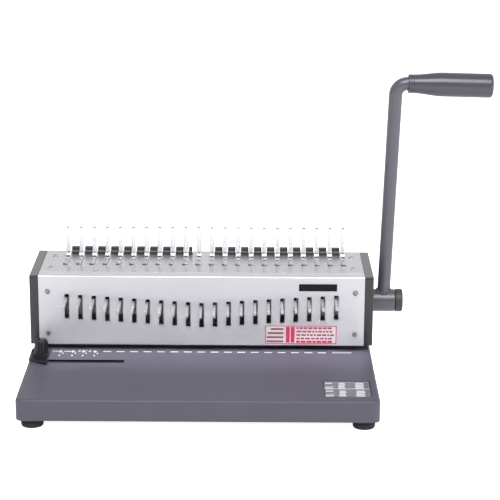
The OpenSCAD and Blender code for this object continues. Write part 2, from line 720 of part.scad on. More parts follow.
module comb_tines() color("#e4e5e8") in_frame() for (k = [0 : punches])
    translate([tine_x(k), 0, case_h]) {
        translate([-tine_w / 2, tine_y, 0]) cube([tine_w, tine_t, tine_h - tine_w / 2]);
        translate([0, tine_y + tine_t, tine_h - tine_w / 2]) rotate([90, 0, 0])
            cylinder(d = tine_w, h = tine_t);
        translate([-tine_foot_w / 2, tine_y + tine_t - tine_foot_d, 0])
            cube([tine_foot_w, tine_foot_d, tine_foot_t]);
    }

module hook_rack() color("#1d1d20") in_frame() {
    translate([-slide_x - slide_t, hook_y, rack_bottom])
        cube([2 * (slide_x + slide_t), hook_t, rack_top - rack_bottom]);
    for (k = hook_ks()) translate([hook_x(k), hook_y, 0]) {
        translate([0, 0, rack_top - eps]) cube([hook_width(k), hook_t, case_h + hook_rise - rack_top]);
        translate([0, 0, case_h + hook_rise - hook_t]) cube([hook_width(k), hook_t + hook_tip, hook_t]);
    }
}

module slide_plates() color("#7d8086") in_frame() both_sides() side_plate(slide_x, slide_t) difference() {
    front = drive_y - drive_pin_d / 2 - pin_gap - slide_wall;
    top = drive_slot_z1 + slide_wall;
    polygon([[front, slide_z], [hook_y, slide_z], [hook_y, rack_top], [hook_y - 12, rack_top],
             [hook_y - 12, stud_z + 5], [drive_y + drive_pin_d, stud_z + 5], [drive_y + drive_pin_d, top],
             [front, top]]);
    translate([drive_y - drive_pin_d / 2 - pin_gap, drive_slot_z0])
        square([drive_pin_d + 2 * pin_gap, drive_slot_z1 - drive_slot_z0]);
}

module slide_studs() color("#a9abb0") in_frame() both_sides() for (y = stud_ys)
    x_bar(slide_x + slide_t, cap_x + 1, y, stud_z, stud_d);

// ---- Edge guide and chip drawer ----

module edge_guide() color("#1d1d20") in_frame() {
    plate_h = 3.8;
    plate_x = -guide_x - 12;
    plate_w = 20;
    plate_front = -groove_y - groove_w / 2;
    translate([0, 0, sheet_gap]) linear_extrude(plate_h) polygon([
        [plate_x, plate_front], [plate_x + plate_w, plate_front - 12],
        [plate_x + plate_w, plate_front + 31], [plate_x, plate_front + 31]]);
    translate([-guide_x, -groove_y + 11.5, sheet_gap + plate_h - eps]) {
        cylinder(d = knob_d - 2, h = knob_h - sheet_gap - plate_h);
        for (a = [0 : 30 : 330]) rotate(a) translate([knob_d / 2 - 1.2, 0, 0])
            cylinder(d = 2.4, h = knob_h - sheet_gap - plate_h - 1.5);
    }
}

module guide_clamp() color("#8d9096") in_frame() translate([-guide_x, -groove_y, 0]) {
    stem = groove_w - 2 * slide_gap;
    translate([-stem / 2, -stem / 2, -base_sheet - sheet_gap - eps])
        cube([stem, stem, base_sheet + 2 * sheet_gap + eps]);
    translate([-6, -8, -base_sheet - sheet_gap - 3]) cube([14, 16, 3]);
}

module chip_drawer() color("#55565c") in_frame() {
    wall = 1.2;
    pull_tab_w = 80;
    z0 = -base_h + bottom_sheet + slide_gap;
    top = -base_sheet - die_t - 1;
    y0 = bar_y - die_rim - 4;
    y1 = base_back - base_sheet;
    difference() {
        translate([-drawer_w / 2, y0, z0]) cube([drawer_w, y1 + base_sheet - y0, top - z0]);
        translate([-drawer_w / 2 + wall, y0 + wall, z0 + wall])
            cube([drawer_w - 2 * wall, y1 - y0 - 2 * wall, top - z0]);
    }
    translate([-pull_tab_w / 2, y1 + base_sheet - eps, (z0 + top) / 2 - 1])
        cube([pull_tab_w, drawer_lip + eps, 2]);
}

base_tray();
bottom_plate();
feet();
foot_screws();
left_frame();
right_frame();
left_end_cap();
right_end_cap();
front_panel();
top_cover();
rear_cover();
guide_block();
die_plate();
throat_spacer();
die_bolts();
shaft_bushes();
comb_tines();
badge_plate();
labels();
case_screws();
main_shaft();
eccentrics();
hook_arms();
shaft_rings();
lever_arm();
lever_grip();
hub_cap();
hub_pin();
punch_bar();
punch_pins();
yoke_plates();
yoke_screws();
hook_rack();
slide_plates();
slide_studs();
edge_guide();
guide_clamp();
chip_drawer();
for (k = [0 : punches - 1]) release_pull(k);
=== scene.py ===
"""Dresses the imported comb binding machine: metal, paint, edges, marks, light and camera.

Working frame, in millimetres: X to the lever side, Y to the back and Z up, with X = 0 in the middle
of the case, Y = 0 at the front of the panel and Z = 0 at the top of the base.
"""
import math
import random

import bmesh
import bpy
from mathutils import Matrix, Vector


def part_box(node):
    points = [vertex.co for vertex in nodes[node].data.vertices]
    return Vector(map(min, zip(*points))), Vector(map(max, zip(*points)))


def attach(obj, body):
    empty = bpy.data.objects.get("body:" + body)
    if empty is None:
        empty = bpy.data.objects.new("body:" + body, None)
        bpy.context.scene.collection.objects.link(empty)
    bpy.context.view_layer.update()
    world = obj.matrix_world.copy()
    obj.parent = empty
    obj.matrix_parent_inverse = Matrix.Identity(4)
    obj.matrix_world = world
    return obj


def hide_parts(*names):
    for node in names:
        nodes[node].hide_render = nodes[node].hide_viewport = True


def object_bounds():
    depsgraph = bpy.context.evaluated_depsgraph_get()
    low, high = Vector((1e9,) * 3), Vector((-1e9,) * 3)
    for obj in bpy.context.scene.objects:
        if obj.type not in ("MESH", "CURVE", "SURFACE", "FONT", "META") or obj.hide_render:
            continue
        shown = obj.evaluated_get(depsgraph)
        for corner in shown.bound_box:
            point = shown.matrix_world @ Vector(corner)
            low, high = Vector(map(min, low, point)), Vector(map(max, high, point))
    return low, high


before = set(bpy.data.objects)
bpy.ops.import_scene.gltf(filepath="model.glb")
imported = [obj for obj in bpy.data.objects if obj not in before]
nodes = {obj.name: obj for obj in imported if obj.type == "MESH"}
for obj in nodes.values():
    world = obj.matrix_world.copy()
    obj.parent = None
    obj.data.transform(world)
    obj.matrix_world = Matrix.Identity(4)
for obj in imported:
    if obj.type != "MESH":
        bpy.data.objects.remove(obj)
cad_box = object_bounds()

MM = 0.001
tray_lo, tray_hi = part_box("base_tray")
panel_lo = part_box("front_panel")[0]
ORIGIN = Vector(((tray_lo.x + tray_hi.x) / 2, panel_lo.y, tray_hi.z))

# Sizes that the CAD model has too, in millimetres and degrees; the case's height is rounded to 0.1
BASE_W, BASE_FRONT, BASE_BACK, BASE_H = 361.4, -149.8, 130.2, 22.3
CORNER_R, SHEET = 7.0, 1.5
RECESS_LEFT, RECESS_RIGHT, RECESS_FRONT, RECESS_BACK, RECESS_DEEP = 125.5, 173.5, -135.0, -91.0, 0.9
THROAT_HALF, THROAT_FRONT, THROAT_BACK = 151.875, 18.0, 36.0
DRAWER_HALF, DRAWER_FLOOR, DRAWER_TOP = 148.3, -21.1, -6.8
CASE_W, CAP_T, CASE_H, THROAT_H = 364.2, 9.2, 82.6, 6.3
PANEL_HALF, PANEL_FOLD = 172.7, 14.0
PUNCHES, PITCH = 21, 14.2875
SLOT_W, SLOT_H, SLOT_TOP, SLOT_STEP = 4.9, 27.2, 62.2, 0.915
SHAFT_Y, SHAFT_Z = 48.0, 42.4
HUB_X, HUB_LEN, HUB_R, SHAFT_R = 183.2, 25.0, 12.1, 7.0
ROD_X, ROD_R, ROD_H, BEND_R = 196.2, 6.95, 245.0, 12.0
LEAN, SPLAY = 6.0, 1.2
GRIP_LEN, GRIP_R1, GRIP_R2, GRIP_GAP = 88.4, 9.85, 12.5, 0.3
CAP_LEN, CAP_R = 8.8, 12.5
TINE_Y, TINE_T, TINE_W, TINE_H = 74.0, 2.0, 4.5, 33.4
FOOT_W, FOOT_T, FOOT_LEN = 6.0, 1.6, 34.0
ROW_SHIFT, HOOK_W, NARROW_HOOK_W = 2.5, 8.4, 3.8
RUBBER_INSET, RUBBER_R, RUBBER_H = 15.2, 11.25, 9.7
GUIDE_X, GROOVE_Y, GROOVE_W, GROOVE_END = 168.0, 36.0, 5.5, 80.8
KNOB_R, KNOB_TOP, KNOB_BACK, RIBS, PLATE_TOP = 7.5, 20.6, 11.5, 12, 4.0
SCREW_R, SCREW_H = 2.9, 1.4
FLANGE_SCREW_R, FLANGE_SCREW_H = 3.5, 2.4
STICKER_X, STICKER_Z, STICKER_W, STICKER_H = 67.5, 7.9, 76.4, 20.9

# Points nearer than these, in metres, count as one: in a cut mesh and in a mesh of the CAD model
WELD, CAD_WELD = 1e-6, 2e-6


def place(x, y, z):
    """A point of the working frame, in metres in the model's own frame."""
    return ORIGIN + Vector((x, y, z)) * MM


def punch_x(k):
    """Where punch k stands, counted from the left."""
    return (k - (PUNCHES - 1) / 2) * PITCH


def tine_x(k):
    """Where tine k stands, counted from the left."""
    return punch_x(k) - PITCH / 2 + ROW_SHIFT


def vee(k):
    """How much lower the top of slot k is than the outermost ones, so that the tops form a V."""
    middle = (PUNCHES - 1) / 2
    return SLOT_STEP * (middle - abs(k - middle))


# ---- Materials ----


def link(tree, a, out, b, into):
    """Joins the output named out of node a to the input named into of node b."""
    tree.links.new(a.outputs[out], b.inputs[into])


def noise(tree, coords, scale, detail, stretch):
    """A noise node that reads the object's own coordinates, stretched along its axes."""
    mapping = tree.nodes.new("ShaderNodeMapping")
    mapping.inputs["Scale"].default_value = stretch
    link(tree, coords, "Object", mapping, "Vector")
    node = tree.nodes.new("ShaderNodeTexNoise")
    node.inputs["Scale"].default_value = scale
    node.inputs["Detail"].default_value = detail
    link(tree, mapping, "Vector", node, "Vector")
    return node


def span(tree, source, low, high):
    """Maps a noise's middle range onto low to high."""
    node = tree.nodes.new("ShaderNodeMapRange")
    node.inputs["From Min"].default_value = 0.3
    node.inputs["From Max"].default_value = 0.7
    node.inputs["To Min"].default_value = low
    node.inputs["To Max"].default_value = high
    link(tree, source, "Fac", node, "Value")
    return node


def two_tone(tree, source, colour, spread):
    """Varies a colour by a noise, a little darker to a little lighter."""
    node = tree.nodes.new("ShaderNodeMix")
    node.data_type = "RGBA"
    node.inputs["A"].default_value = [c * (1 - spread) for c in colour] + [1]
    node.inputs["B"].default_value = [min(1, c * (1 + spread)) for c in colour] + [1]
    tree.links.new(source.outputs["Fac"], node.inputs["Factor"])
    return node


def finish(name, colour, metallic, rough, spread=0.05, patches=60, rough_spread=0.05,
           grain=900, stretch=(1, 1, 1), depth=0.03, coat=0.0, spec=0.5):
    """A finish with colour patches, uneven gloss and a fine grain or brushing, depth millimetres deep."""
    mat = bpy.data.materials.new(name)
    mat.use_nodes = True
    tree = mat.node_tree
    shader = tree.nodes["Principled BSDF"]
    coords = tree.nodes.new("ShaderNodeTexCoord")
    cloudy = noise(tree, coords, patches, 5, [s ** 0.5 for s in stretch])
    fine = noise(tree, coords, grain, 4, stretch)
    mixed = two_tone(tree, cloudy, colour, spread)
    tree.links.new(mixed.outputs["Result"], shader.inputs["Base Color"])
    gloss = span(tree, fine, max(0.02, rough - rough_spread), min(1, rough + rough_spread))
    link(tree, gloss, "Result", shader, "Roughness")
    bump = tree.nodes.new("ShaderNodeBump")
    bump.inputs["Strength"].default_value = 1.0
    bump.inputs["Distance"].default_value = depth * MM
    tree.links.new(fine.outputs["Fac"], bump.inputs["Height"])
    link(tree, bump, "Normal", shader, "Normal")
    shader.inputs["Metallic"].default_value = metallic
    shader.inputs["Coat Weight"].default_value = coat
    shader.inputs["Coat Roughness"].default_value = 0.2
    shader.inputs["Specular IOR Level"].default_value = spec
    return mat


def stretch_glints(mat, amount, direction):
    """Draws the reflections out across the brushing, along direction."""
    tree = mat.node_tree
    shader = tree.nodes["Principled BSDF"]
    shader.inputs["Anisotropic"].default_value = amount
    along = tree.nodes.new("ShaderNodeCombineXYZ")
    for axis, value in zip("XYZ", direction):
        along.inputs[axis].default_value = value
    link(tree, along, "Vector", shader, "Tangent")


def paint_shade_behind(mat, near, far):
    """Paints shade into a finish: blackens it from near to far behind the front panel, both in millimetres,
    where the case is dark inside.
    """
    tree = mat.node_tree
    shader = tree.nodes["Principled BSDF"]
    coords = tree.nodes.new("ShaderNodeTexCoord")
    parts = tree.nodes.new("ShaderNodeSeparateXYZ")
    link(tree, coords, "Object", parts, "Vector")
    depth = tree.nodes.new("ShaderNodeMapRange")
    depth.inputs["From Min"].default_value = place(0, near, 0).y
    depth.inputs["From Max"].default_value = place(0, far, 0).y
    link(tree, parts, "Y", depth, "Value")
    dark = tree.nodes.new("ShaderNodeMix")
    dark.data_type = "RGBA"
    tree.links.new(depth.outputs["Result"], dark.inputs["Factor"])
    tree.links.new(shader.inputs["Base Color"].links[0].from_socket, dark.inputs["A"])
    dark.inputs["B"].default_value = (0.006, 0.006, 0.007, 1)
    tree.links.new(dark.outputs["Result"], shader.inputs["Base Color"])


# Directions of brushing: the noise is stretched where its scale is small
ALONG_X = (0.02, 1, 1)
ALONG_Z = (1, 1, 0.02)

paint = finish("satin_grey_paint", (0.088, 0.084, 0.115), 0.0, 0.42, grain=1100, depth=0.012, spec=0.4)
rod_paint = finish("lever_paint", (0.085, 0.081, 0.106), 0.0, 0.34, depth=0.010, spec=0.8)
grip_skin = finish("grip_skin", (0.068, 0.065, 0.085), 0.0, 0.23, spread=0.06, grain=1500, depth=0.012)
brushed = finish("brushed_panel", (0.69, 0.69, 0.73), 0.65, 0.40, spread=0.03, patches=40, grain=1600,
                 stretch=ALONG_X, depth=0.004, rough_spread=0.06)
polished = finish("polished_deck", (0.71, 0.71, 0.74), 1.0, 0.28, spread=0.02, patches=50, grain=2600,
                  stretch=(0.01, 1, 1), depth=0.0006, rough_spread=0.03)
stretch_glints(polished, 0.8, (0, 1, 0))
bright = finish("bright_steel", (0.84, 0.84, 0.86), 0.60, 0.20, spread=0.03, patches=150, grain=1800,
                stretch=ALONG_Z, depth=0.002, rough_spread=0.05)
pull_steel = finish("pull_steel", (0.60, 0.60, 0.62), 0.6, 0.36, spread=0.04, patches=200, grain=2200,
                    stretch=(1, 0.03, 1), depth=0.003, rough_spread=0.06)
# Painted shade: the pull rods blacken from 0.4 to 2 mm behind the panel's front, where the case is dark
# inside
paint_shade_behind(pull_steel, near=0.4, far=2.0)
# A darker copy of the tine steel for the feet and rivets: painted shade, while the uprights keep the bright
# steel
tine_foot_shaded_steel = finish("tine_foot_shaded_steel", (0.66, 0.66, 0.69), 0.9, 0.34, spread=0.04, patches=150, grain=1800,
                    stretch=ALONG_Z, depth=0.002, rough_spread=0.05)
# Near-black for marks of painted shade and shadow, at the tines and round the size label
painted_shade = finish("painted_shade", (0.012, 0.012, 0.014), 0.0, 0.5, spread=0.1, grain=1500, depth=0.004,
                   spec=0.15)
hook_black = finish("hook_black", (0.038, 0.038, 0.042), 0.2, 0.42, spread=0.12, patches=160, grain=1500,
                    depth=0.006)
# A lighter grey for the painted highlight bands across the hooks
hook_painted_highlight = finish("hook_painted_highlight", (0.21, 0.21, 0.22), 0.3, 0.45, spread=0.15, patches=300, grain=1500,
                   depth=0.006)
bar_steel = finish("bar_steel", (0.64, 0.64, 0.66), 0.2, 0.5, spread=0.06, patches=120, grain=1600,
                   depth=0.004)
hub_cap_skin = finish("hub_cap_plastic", (0.050, 0.049, 0.050), 0.0, 0.46, spread=0.12, grain=1500)
cap_skin = finish("cap_plastic", (0.010, 0.010, 0.014), 0.0, 0.25, spread=0.08, grain=1500, depth=0.02,
                  coat=0.5)
knob_skin = finish("knob_plastic", (0.011, 0.010, 0.015), 0.0, 0.22, spread=0.1, grain=1300, depth=0.012,
                   spec=0.34)
# Near-black for the painted shade in the groove
groove_shade_black = finish("groove_shade_black", (0.004, 0.004, 0.005), 0.0, 0.7, spread=0.1, grain=1500, depth=0.003,
                   spec=0.03)
black_steel = finish("black_oxide", (0.020, 0.020, 0.022), 0.3, 0.42, spread=0.15, patches=120, grain=1600,
                     depth=0.006)
plate = finish("zinc_plate", (0.50, 0.51, 0.53), 1.0, 0.38, spread=0.08, patches=90, grain=700, depth=0.006)
ground = finish("ground_steel", (0.46, 0.46, 0.48), 1.0, 0.30, spread=0.10, patches=160, grain=2400,
                stretch=ALONG_Z, depth=0.004)
cover_paint = finish("cover_paint", (0.080, 0.080, 0.085), 0.0, 0.48, spread=0.06)
rubber = finish("foot_rubber", (0.020, 0.020, 0.021), 0.0, 0.62, spread=0.15, patches=200, grain=1600,
                spec=0.35)
nickel = finish("nickel_screw", (0.36, 0.36, 0.38), 1.0, 0.30, spread=0.08, patches=400, grain=3000,
                depth=0.003)
# A lighter copy of the screw nickel for the deck's screws: painted light on the heads that face up
deck_screw_lit_nickel = finish("deck_screw_lit_nickel", (0.70, 0.70, 0.73), 1.0, 0.30, spread=0.06, patches=400, grain=3000,
                     depth=0.003)
bronze = finish("bronze_bush", (0.50, 0.33, 0.15), 1.0, 0.38, spread=0.12, patches=300, grain=2500,
                depth=0.006)
badge_skin = finish("badge_black", (0.010, 0.010, 0.011), 0.0, 0.40, spread=0.1, grain=1500, depth=0.004,
                    spec=0.15)
film = finish("label_film", (0.66, 0.58, 0.61), 0.0, 0.35, spread=0.02, depth=0.004, coat=0.1)
silver_film = finish("silver_film", (0.20, 0.20, 0.22), 0.3, 0.36, depth=0.004)
white_ink = finish("white_ink", (0.95, 0.95, 0.95), 0.0, 0.5, spread=0.04, patches=300, grain=2500,
                   depth=0.003)
red_ink = finish("red_ink", (0.50, 0.035, 0.09), 0.0, 0.45, spread=0.06, patches=300, grain=2500,
                 depth=0.003, spec=0.2)
pale_ink = finish("pale_ink", (0.74, 0.74, 0.77), 0.0, 0.5, spread=0.08, patches=300, grain=2500,
                  depth=0.003)
dark_ink = finish("dark_ink", (0.20, 0.06, 0.10), 0.0, 0.45, spread=0.06, patches=300, grain=2500,
                  depth=0.003, spec=0.2)

# ---- Mesh helpers ----


def merge(parts):
    """Joins several bmeshes into the first."""
    whole = parts[0]
    for part in parts[1:]:
        mesh = bpy.data.meshes.new("part")
        part.to_mesh(mesh)
        whole.from_mesh(mesh)
        bpy.data.meshes.remove(mesh)
        part.free()
    return whole


def box_mesh(x0, x1, y0, y1, z0, z1):
    """A box between planes of the working frame, in millimetres."""
    bm = bmesh.new()
    bmesh.ops.create_cube(bm, size=1)
    size = Vector((x1 - x0, y1 - y0, z1 - z0)) * MM
    centre = place((x0 + x1) / 2, (y0 + y1) / 2, (z0 + z1) / 2)
    for v in bm.verts:
        v.co = centre + Vector((v.co.x * size.x, v.co.y * size.y, v.co.z * size.z))
    return bm


def rings_mesh(rings, closed=False):
    """A skin over rings of points, capped at both ends unless it closes on itself."""
    bm = bmesh.new()
    verts = [[bm.verts.new(p) for p in ring] for ring in rings]
    count = len(rings[0])
    steps = len(rings) if closed else len(rings) - 1
    for i in range(steps):
        a, b = verts[i], verts[(i + 1) % len(rings)]
        for j in range(count):
            bm.faces.new((a[j], a[(j + 1) % count], b[(j + 1) % count], b[j]))
    if not closed:
        bm.faces.new(list(reversed(verts[0])))
        bm.faces.new(verts[-1])
    bmesh.ops.recalc_face_normals(bm, faces=bm.faces)
    return bm


def full_turn(steps):
    """Equal angles around a full turn, in radians."""
    return [2 * math.pi * j / steps for j in range(steps)]


def quarter_turn(steps):
    """Angles from 0 to 90 degrees in equal steps, in radians."""
    return [math.pi / 2 * i / steps for i in range(steps + 1)]


def lathe(profile, to_point, segments=96):
    """Turns a profile of (radius, height) pairs; to_point takes x and y across and the height."""
    rings = []
    for radius, height in profile:
        rings.append([to_point(radius * math.cos(a), radius * math.sin(a), height)
                      for a in full_turn(segments)])
    return rings_mesh(rings)


def along_x(x0, y, z):
    """Lays a lathe's axis along X, from x0."""
    return lambda u, v, h: place(x0 + h, y + u, z + v)


def upright(x, y, z0):
    """Stands a lathe's axis up, from z0."""
    return lambda u, v, h: place(x + u, y + v, z0 + h)


def in_lever(u, v, h):
    """A point in the upright lever's own frame: u away from the case, v across, h up the rod."""
    splay, lean = math.radians(SPLAY), math.radians(LEAN)
    x = u * math.cos(splay) + h * math.sin(splay)
    z = -u * math.sin(splay) + h * math.cos(splay)
    y = v * math.cos(lean) - z * math.sin(lean)
    z = v * math.sin(lean) + z * math.cos(lean)
    return place(ROD_X + x, SHAFT_Y + y, SHAFT_Z + z)


def arc(cx, cy, r, a0, a1, steps):
    """Points on an arc, from angle a0 to a1 in degrees."""
    angles = [math.radians(a0 + (a1 - a0) * i / steps) for i in range(steps + 1)]
    return [(cx + r * math.cos(a), cy + r * math.sin(a)) for a in angles]


def from_node(name):
    """A clean copy of a CAD node's mesh, with its flat faces whole again."""
    bm = bmesh.new()
    bm.from_mesh(nodes[name].data)
    bmesh.ops.remove_doubles(bm, verts=bm.verts, dist=CAD_WELD)
    bmesh.ops.dissolve_limit(bm, angle_limit=math.radians(0.5), verts=bm.verts, edges=bm.edges)
    return bm


def soften(bm, width, segments=2, angle=40, where=None):
    """Rounds by width, in millimetres, the edges that bend more than angle and that where accepts."""
    sharp = [e for e in bm.edges if len(e.link_faces) == 2
             and e.calc_face_angle(0) > math.radians(angle) and (where is None or where(e))]
    bmesh.ops.bevel(bm, geom=sharp, offset=width * MM, segments=segments, profile=0.5,
                    affect="EDGES", clamp_overlap=True)
    return bm


def cut(bm, cutter):
    """Takes cutter out of bm and gives the result as a new bmesh."""
    pair = []
    for source in (bm, cutter):
        mesh = bpy.data.meshes.new("cut")
        source.to_mesh(mesh)
        source.free()
        obj = bpy.data.objects.new("cut", mesh)
        bpy.context.scene.collection.objects.link(obj)
        pair.append(obj)
    modifier = pair[0].modifiers.new("cut", "BOOLEAN")
    modifier.operation = "DIFFERENCE"
    modifier.solver = "EXACT"
    modifier.object = pair[1]
    graph = bpy.context.evaluated_depsgraph_get()
    mesh = bpy.data.meshes.new_from_object(pair[0].evaluated_get(graph))
    result = bmesh.new()
    result.from_mesh(mesh)
    for obj in pair:
        bpy.data.objects.remove(obj)
    bmesh.ops.remove_doubles(result, verts=result.verts, dist=WELD)
    return result


def piece(name, bm, material, body, replaces=()):
    """Makes an object of a bmesh, shades it and fixes it to its CAD body."""
    mesh = bpy.data.meshes.new(name)
    bm.to_mesh(mesh)
    bm.free()
    mesh.polygons.foreach_set("use_smooth", [True] * len(mesh.polygons))
    mesh.set_sharp_from_angle(angle=math.radians(32))
    mesh.materials.append(material)
    obj = bpy.data.objects.new(name, mesh)
    bpy.context.scene.collection.objects.link(obj)
    even = obj.modifiers.new("even_normals", "WEIGHTED_NORMAL")
    even.keep_sharp = True
    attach(obj, body)
    if replaces:
        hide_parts(*replaces)


# ---- Base tray ----


def tray_ring(inset, z):
    """A rounded rectangle inside the tray's outline, at height z."""
    r = CORNER_R - inset
    x, y0, y1 = BASE_W / 2 - inset, BASE_FRONT + inset, BASE_BACK - inset
    corners = ((x - r, y1 - r, 0), (-x + r, y1 - r, 90), (-x + r, y0 + r, 180), (x - r, y0 + r, 270))
    points = []
    for cx, cy, a in corners:
        points += [place(px, py, z) for px, py in arc(cx, cy, r, a, a + 90, 10)]
    return points


# Outer and inner radius of the fold, size of the lower edges, and how far the cutters go past the sheet
TRAY_BEND, INNER_BEND, RIM_OUT, RIM_IN = 2.6, 1.0, 0.3, 0.2
CUT_DEEP, CUT_OVER = 4.0, 1.0
tray_rings = [
    tray_ring(SHEET + INNER_BEND, -SHEET), tray_ring(SHEET, -SHEET - INNER_BEND),
    tray_ring(SHEET, -BASE_H + RIM_IN / 2), tray_ring(SHEET - RIM_IN, -BASE_H),
    tray_ring(RIM_OUT, -BASE_H), tray_ring(0, -BASE_H + RIM_OUT),
]
tray_rings += [tray_ring(TRAY_BEND - px, pz - TRAY_BEND) for px, pz in arc(0, 0, TRAY_BEND, 0, 90, 7)]
tray = rings_mesh(tray_rings)
groove_left, groove_right = -GUIDE_X - GROOVE_W / 2, -GROOVE_END
groove_front, groove_back = -GROOVE_Y - GROOVE_W / 2, -GROOVE_Y + GROOVE_W / 2
holes = [
    box_mesh(groove_left, groove_right, groove_front, groove_back, -CUT_DEEP, CUT_OVER),
    box_mesh(RECESS_LEFT, RECESS_RIGHT, RECESS_FRONT, RECESS_BACK, -RECESS_DEEP, CUT_OVER),
    box_mesh(-THROAT_HALF, THROAT_HALF, THROAT_FRONT, THROAT_BACK, -CUT_DEEP, CUT_OVER),
    box_mesh(-DRAWER_HALF, DRAWER_HALF, BASE_BACK - 2 * SHEET, BASE_BACK + CUT_OVER,
             DRAWER_FLOOR, DRAWER_TOP),
]
tray = cut(tray, merge(holes))
piece("base_tray_painted", tray, paint, "frame", ["base_tray"])

# ---- Rubber feet ----

foot_profile = [(3.2, 0.6), (8.6, 0.0), (9.4, 0.0), (10.6, 0.35), (11.05, 1.1), (RUBBER_R, 2.0),
                (RUBBER_R, 5.2), (11.0, 5.6), (10.5, 5.8), (10.5, 6.4), (10.7, 6.6), (10.7, 9.3),
                (10.4, RUBBER_H), (3.2, RUBBER_H)]
feet = []
for sx in (-1, 1):
    for y in (BASE_FRONT + RUBBER_INSET, BASE_BACK - RUBBER_INSET):
        where = upright(sx * (BASE_W / 2 - RUBBER_INSET), y, -BASE_H - RUBBER_H)
        feet.append(lathe(foot_profile, where))
piece("rubber_feet", merge(feet), rubber, "frame", ["feet"])

# ---- Front panel, deck, caps and rear cover ----

# Outer and inner radius of the panel's upper fold
FOLD_OUT, FOLD_IN = 2.0, 0.5
fold = [(0, THROAT_H), (0, CASE_H - FOLD_OUT)]
fold += arc(FOLD_OUT, CASE_H - FOLD_OUT, FOLD_OUT, 180, 90, 8)
fold += [(PANEL_FOLD, CASE_H), (PANEL_FOLD, CASE_H - SHEET)]
fold += arc(SHEET + FOLD_IN, CASE_H - SHEET - FOLD_IN, FOLD_IN, 90, 180, 4)
fold += [(SHEET, THROAT_H)]
panel = rings_mesh([[place(x, y, z) for y, z in fold] for x in (-PANEL_HALF, PANEL_HALF)])
bmesh.ops.remove_doubles(panel, verts=panel.verts, dist=WELD)
slots = []
for k in range(PUNCHES):
    left, top = punch_x(k) - SLOT_W / 2, SLOT_TOP - vee(k)
    slots.append(box_mesh(left, left + SLOT_W, -CUT_OVER, 2 * SHEET, top - SLOT_H, top))
panel = cut(panel, merge(slots))
front_y = place(0, 0, 0).y


def on_front(edge):
    """Says whether an edge lies in the panel's front face."""
    return all(abs(v.co.y - front_y) < WELD for v in edge.verts)


soften(panel, 0.25, angle=60, where=on_front)
piece("brushed_front_panel", panel, brushed, "frame", ["front_panel"])

piece("polished_deck", soften(from_node("top_cover"), 0.35), polished, "frame",
      ["top_cover"])
piece("rear_cover_painted", soften(from_node("rear_cover"), 0.3), cover_paint, "frame",
      ["rear_cover"])

# A fine seam across each cap's front, just below its top
SEAM_DROP, SEAM_W, SEAM_DEEP = 2.3, 0.5, 0.45
seam_z = CASE_H - SEAM_DROP
for side, node in ((-1, "left_end_cap"), (1, "right_end_cap")):
    x0, x1 = sorted((side * (CASE_W / 2 - CAP_T), side * CASE_W / 2))
    cap = soften(from_node(node), 0.7, 3)
    seam = box_mesh(x0 - CUT_OVER, x1 + CUT_OVER, -CUT_OVER, SEAM_DEEP, seam_z, seam_z + SEAM_W)
    piece(node + "_moulded", cut(cap, seam), cap_skin, "frame", [node])

# ---- Screws ----


def screw_head(radius, height):
    """A pan head with a cross recess, its seat at the origin and its top along +Z."""
    profile = [(radius * 0.6, 0), (radius, 0), (radius, height * 0.35), (radius * 0.93, height * 0.68),
               (radius * 0.72, height * 0.92), (radius * 0.4, height)]
    head = lathe(profile, lambda u, v, h: Vector((u, v, h)) * MM, 40)
    arm, bar = radius * 1.24, radius * 0.4
    for w, d in ((arm, bar), (bar, arm)):
        cutter = bmesh.new()
        bmesh.ops.create_cube(cutter, size=1)
        for v in cutter.verts:
            v.co = Vector((v.co.x * w, v.co.y * d, v.co.z * height + height)) * MM
        head = cut(head, cutter)
    return head


def placed(source, point, turn):
    """A copy of a bmesh, turned and moved."""
    bm = source.copy()
    bm.transform(Matrix.Translation(point) @ turn)
    return bm


def turned(degrees, axis):
    """A turn about an axis, in degrees."""
    return Matrix.Rotation(math.radians(degrees), 4, axis)


# Screws on the panel, the deck, the rear cover and the flanges of the side frames
PANEL_SCREW_X, PANEL_SCREW_Z = 163.0, (19.0, 65.0)
DECK_SCREW_X, DECK_SCREW_Y = 162.0, (31.0, 73.5)
REAR_SCREW_X, REAR_FACE, REAR_SCREW_Z = 165.9, 128.0, (12.0, 60.0)
FLANGE_SCREW_X, FLANGE_SCREW_Y, FLANGE_TOP = 163.45, (50.0, 114.0), 3.0
small_head = screw_head(SCREW_R, SCREW_H)
flange_head = screw_head(FLANGE_SCREW_R, FLANGE_SCREW_H)
heads = []
deck_heads = []
for side in (-1, 1):
    for n, z in enumerate(PANEL_SCREW_Z):
        facing = turned(90, "X") @ turned(20 + 50 * n + 15 * side, "Z")
        heads.append(placed(small_head, place(side * PANEL_SCREW_X, 0, z), facing))
    for n, y in enumerate(DECK_SCREW_Y):
        facing = turned(65 * n + 25 * side, "Z")
        deck_heads.append(placed(small_head, place(side * DECK_SCREW_X, y, CASE_H), facing))
    for z in REAR_SCREW_Z:
        heads.append(placed(small_head, place(side * REAR_SCREW_X, REAR_FACE, z), turned(-90, "X")))
    for y in FLANGE_SCREW_Y:
        heads.append(placed(flange_head, place(side * FLANGE_SCREW_X, y, FLANGE_TOP), Matrix.Identity(4)))
piece("case_screw_heads", merge(heads), nickel, "frame", ["case_screws"])
# The deck's screws take the lighter copy of the nickel: painted light
piece("deck_screw_heads", merge(deck_heads), deck_screw_lit_nickel, "frame")

# ---- Pull rods ----

for k in range(PUNCHES):
    node = f"release_pull_{k + 1:02d}"
    piece(f"pull_rod_{k + 1:02d}", soften(from_node(node), 0.45, 3), pull_steel, f"pull_{k + 1:02d}",
          [node])

# ---- Tines ----

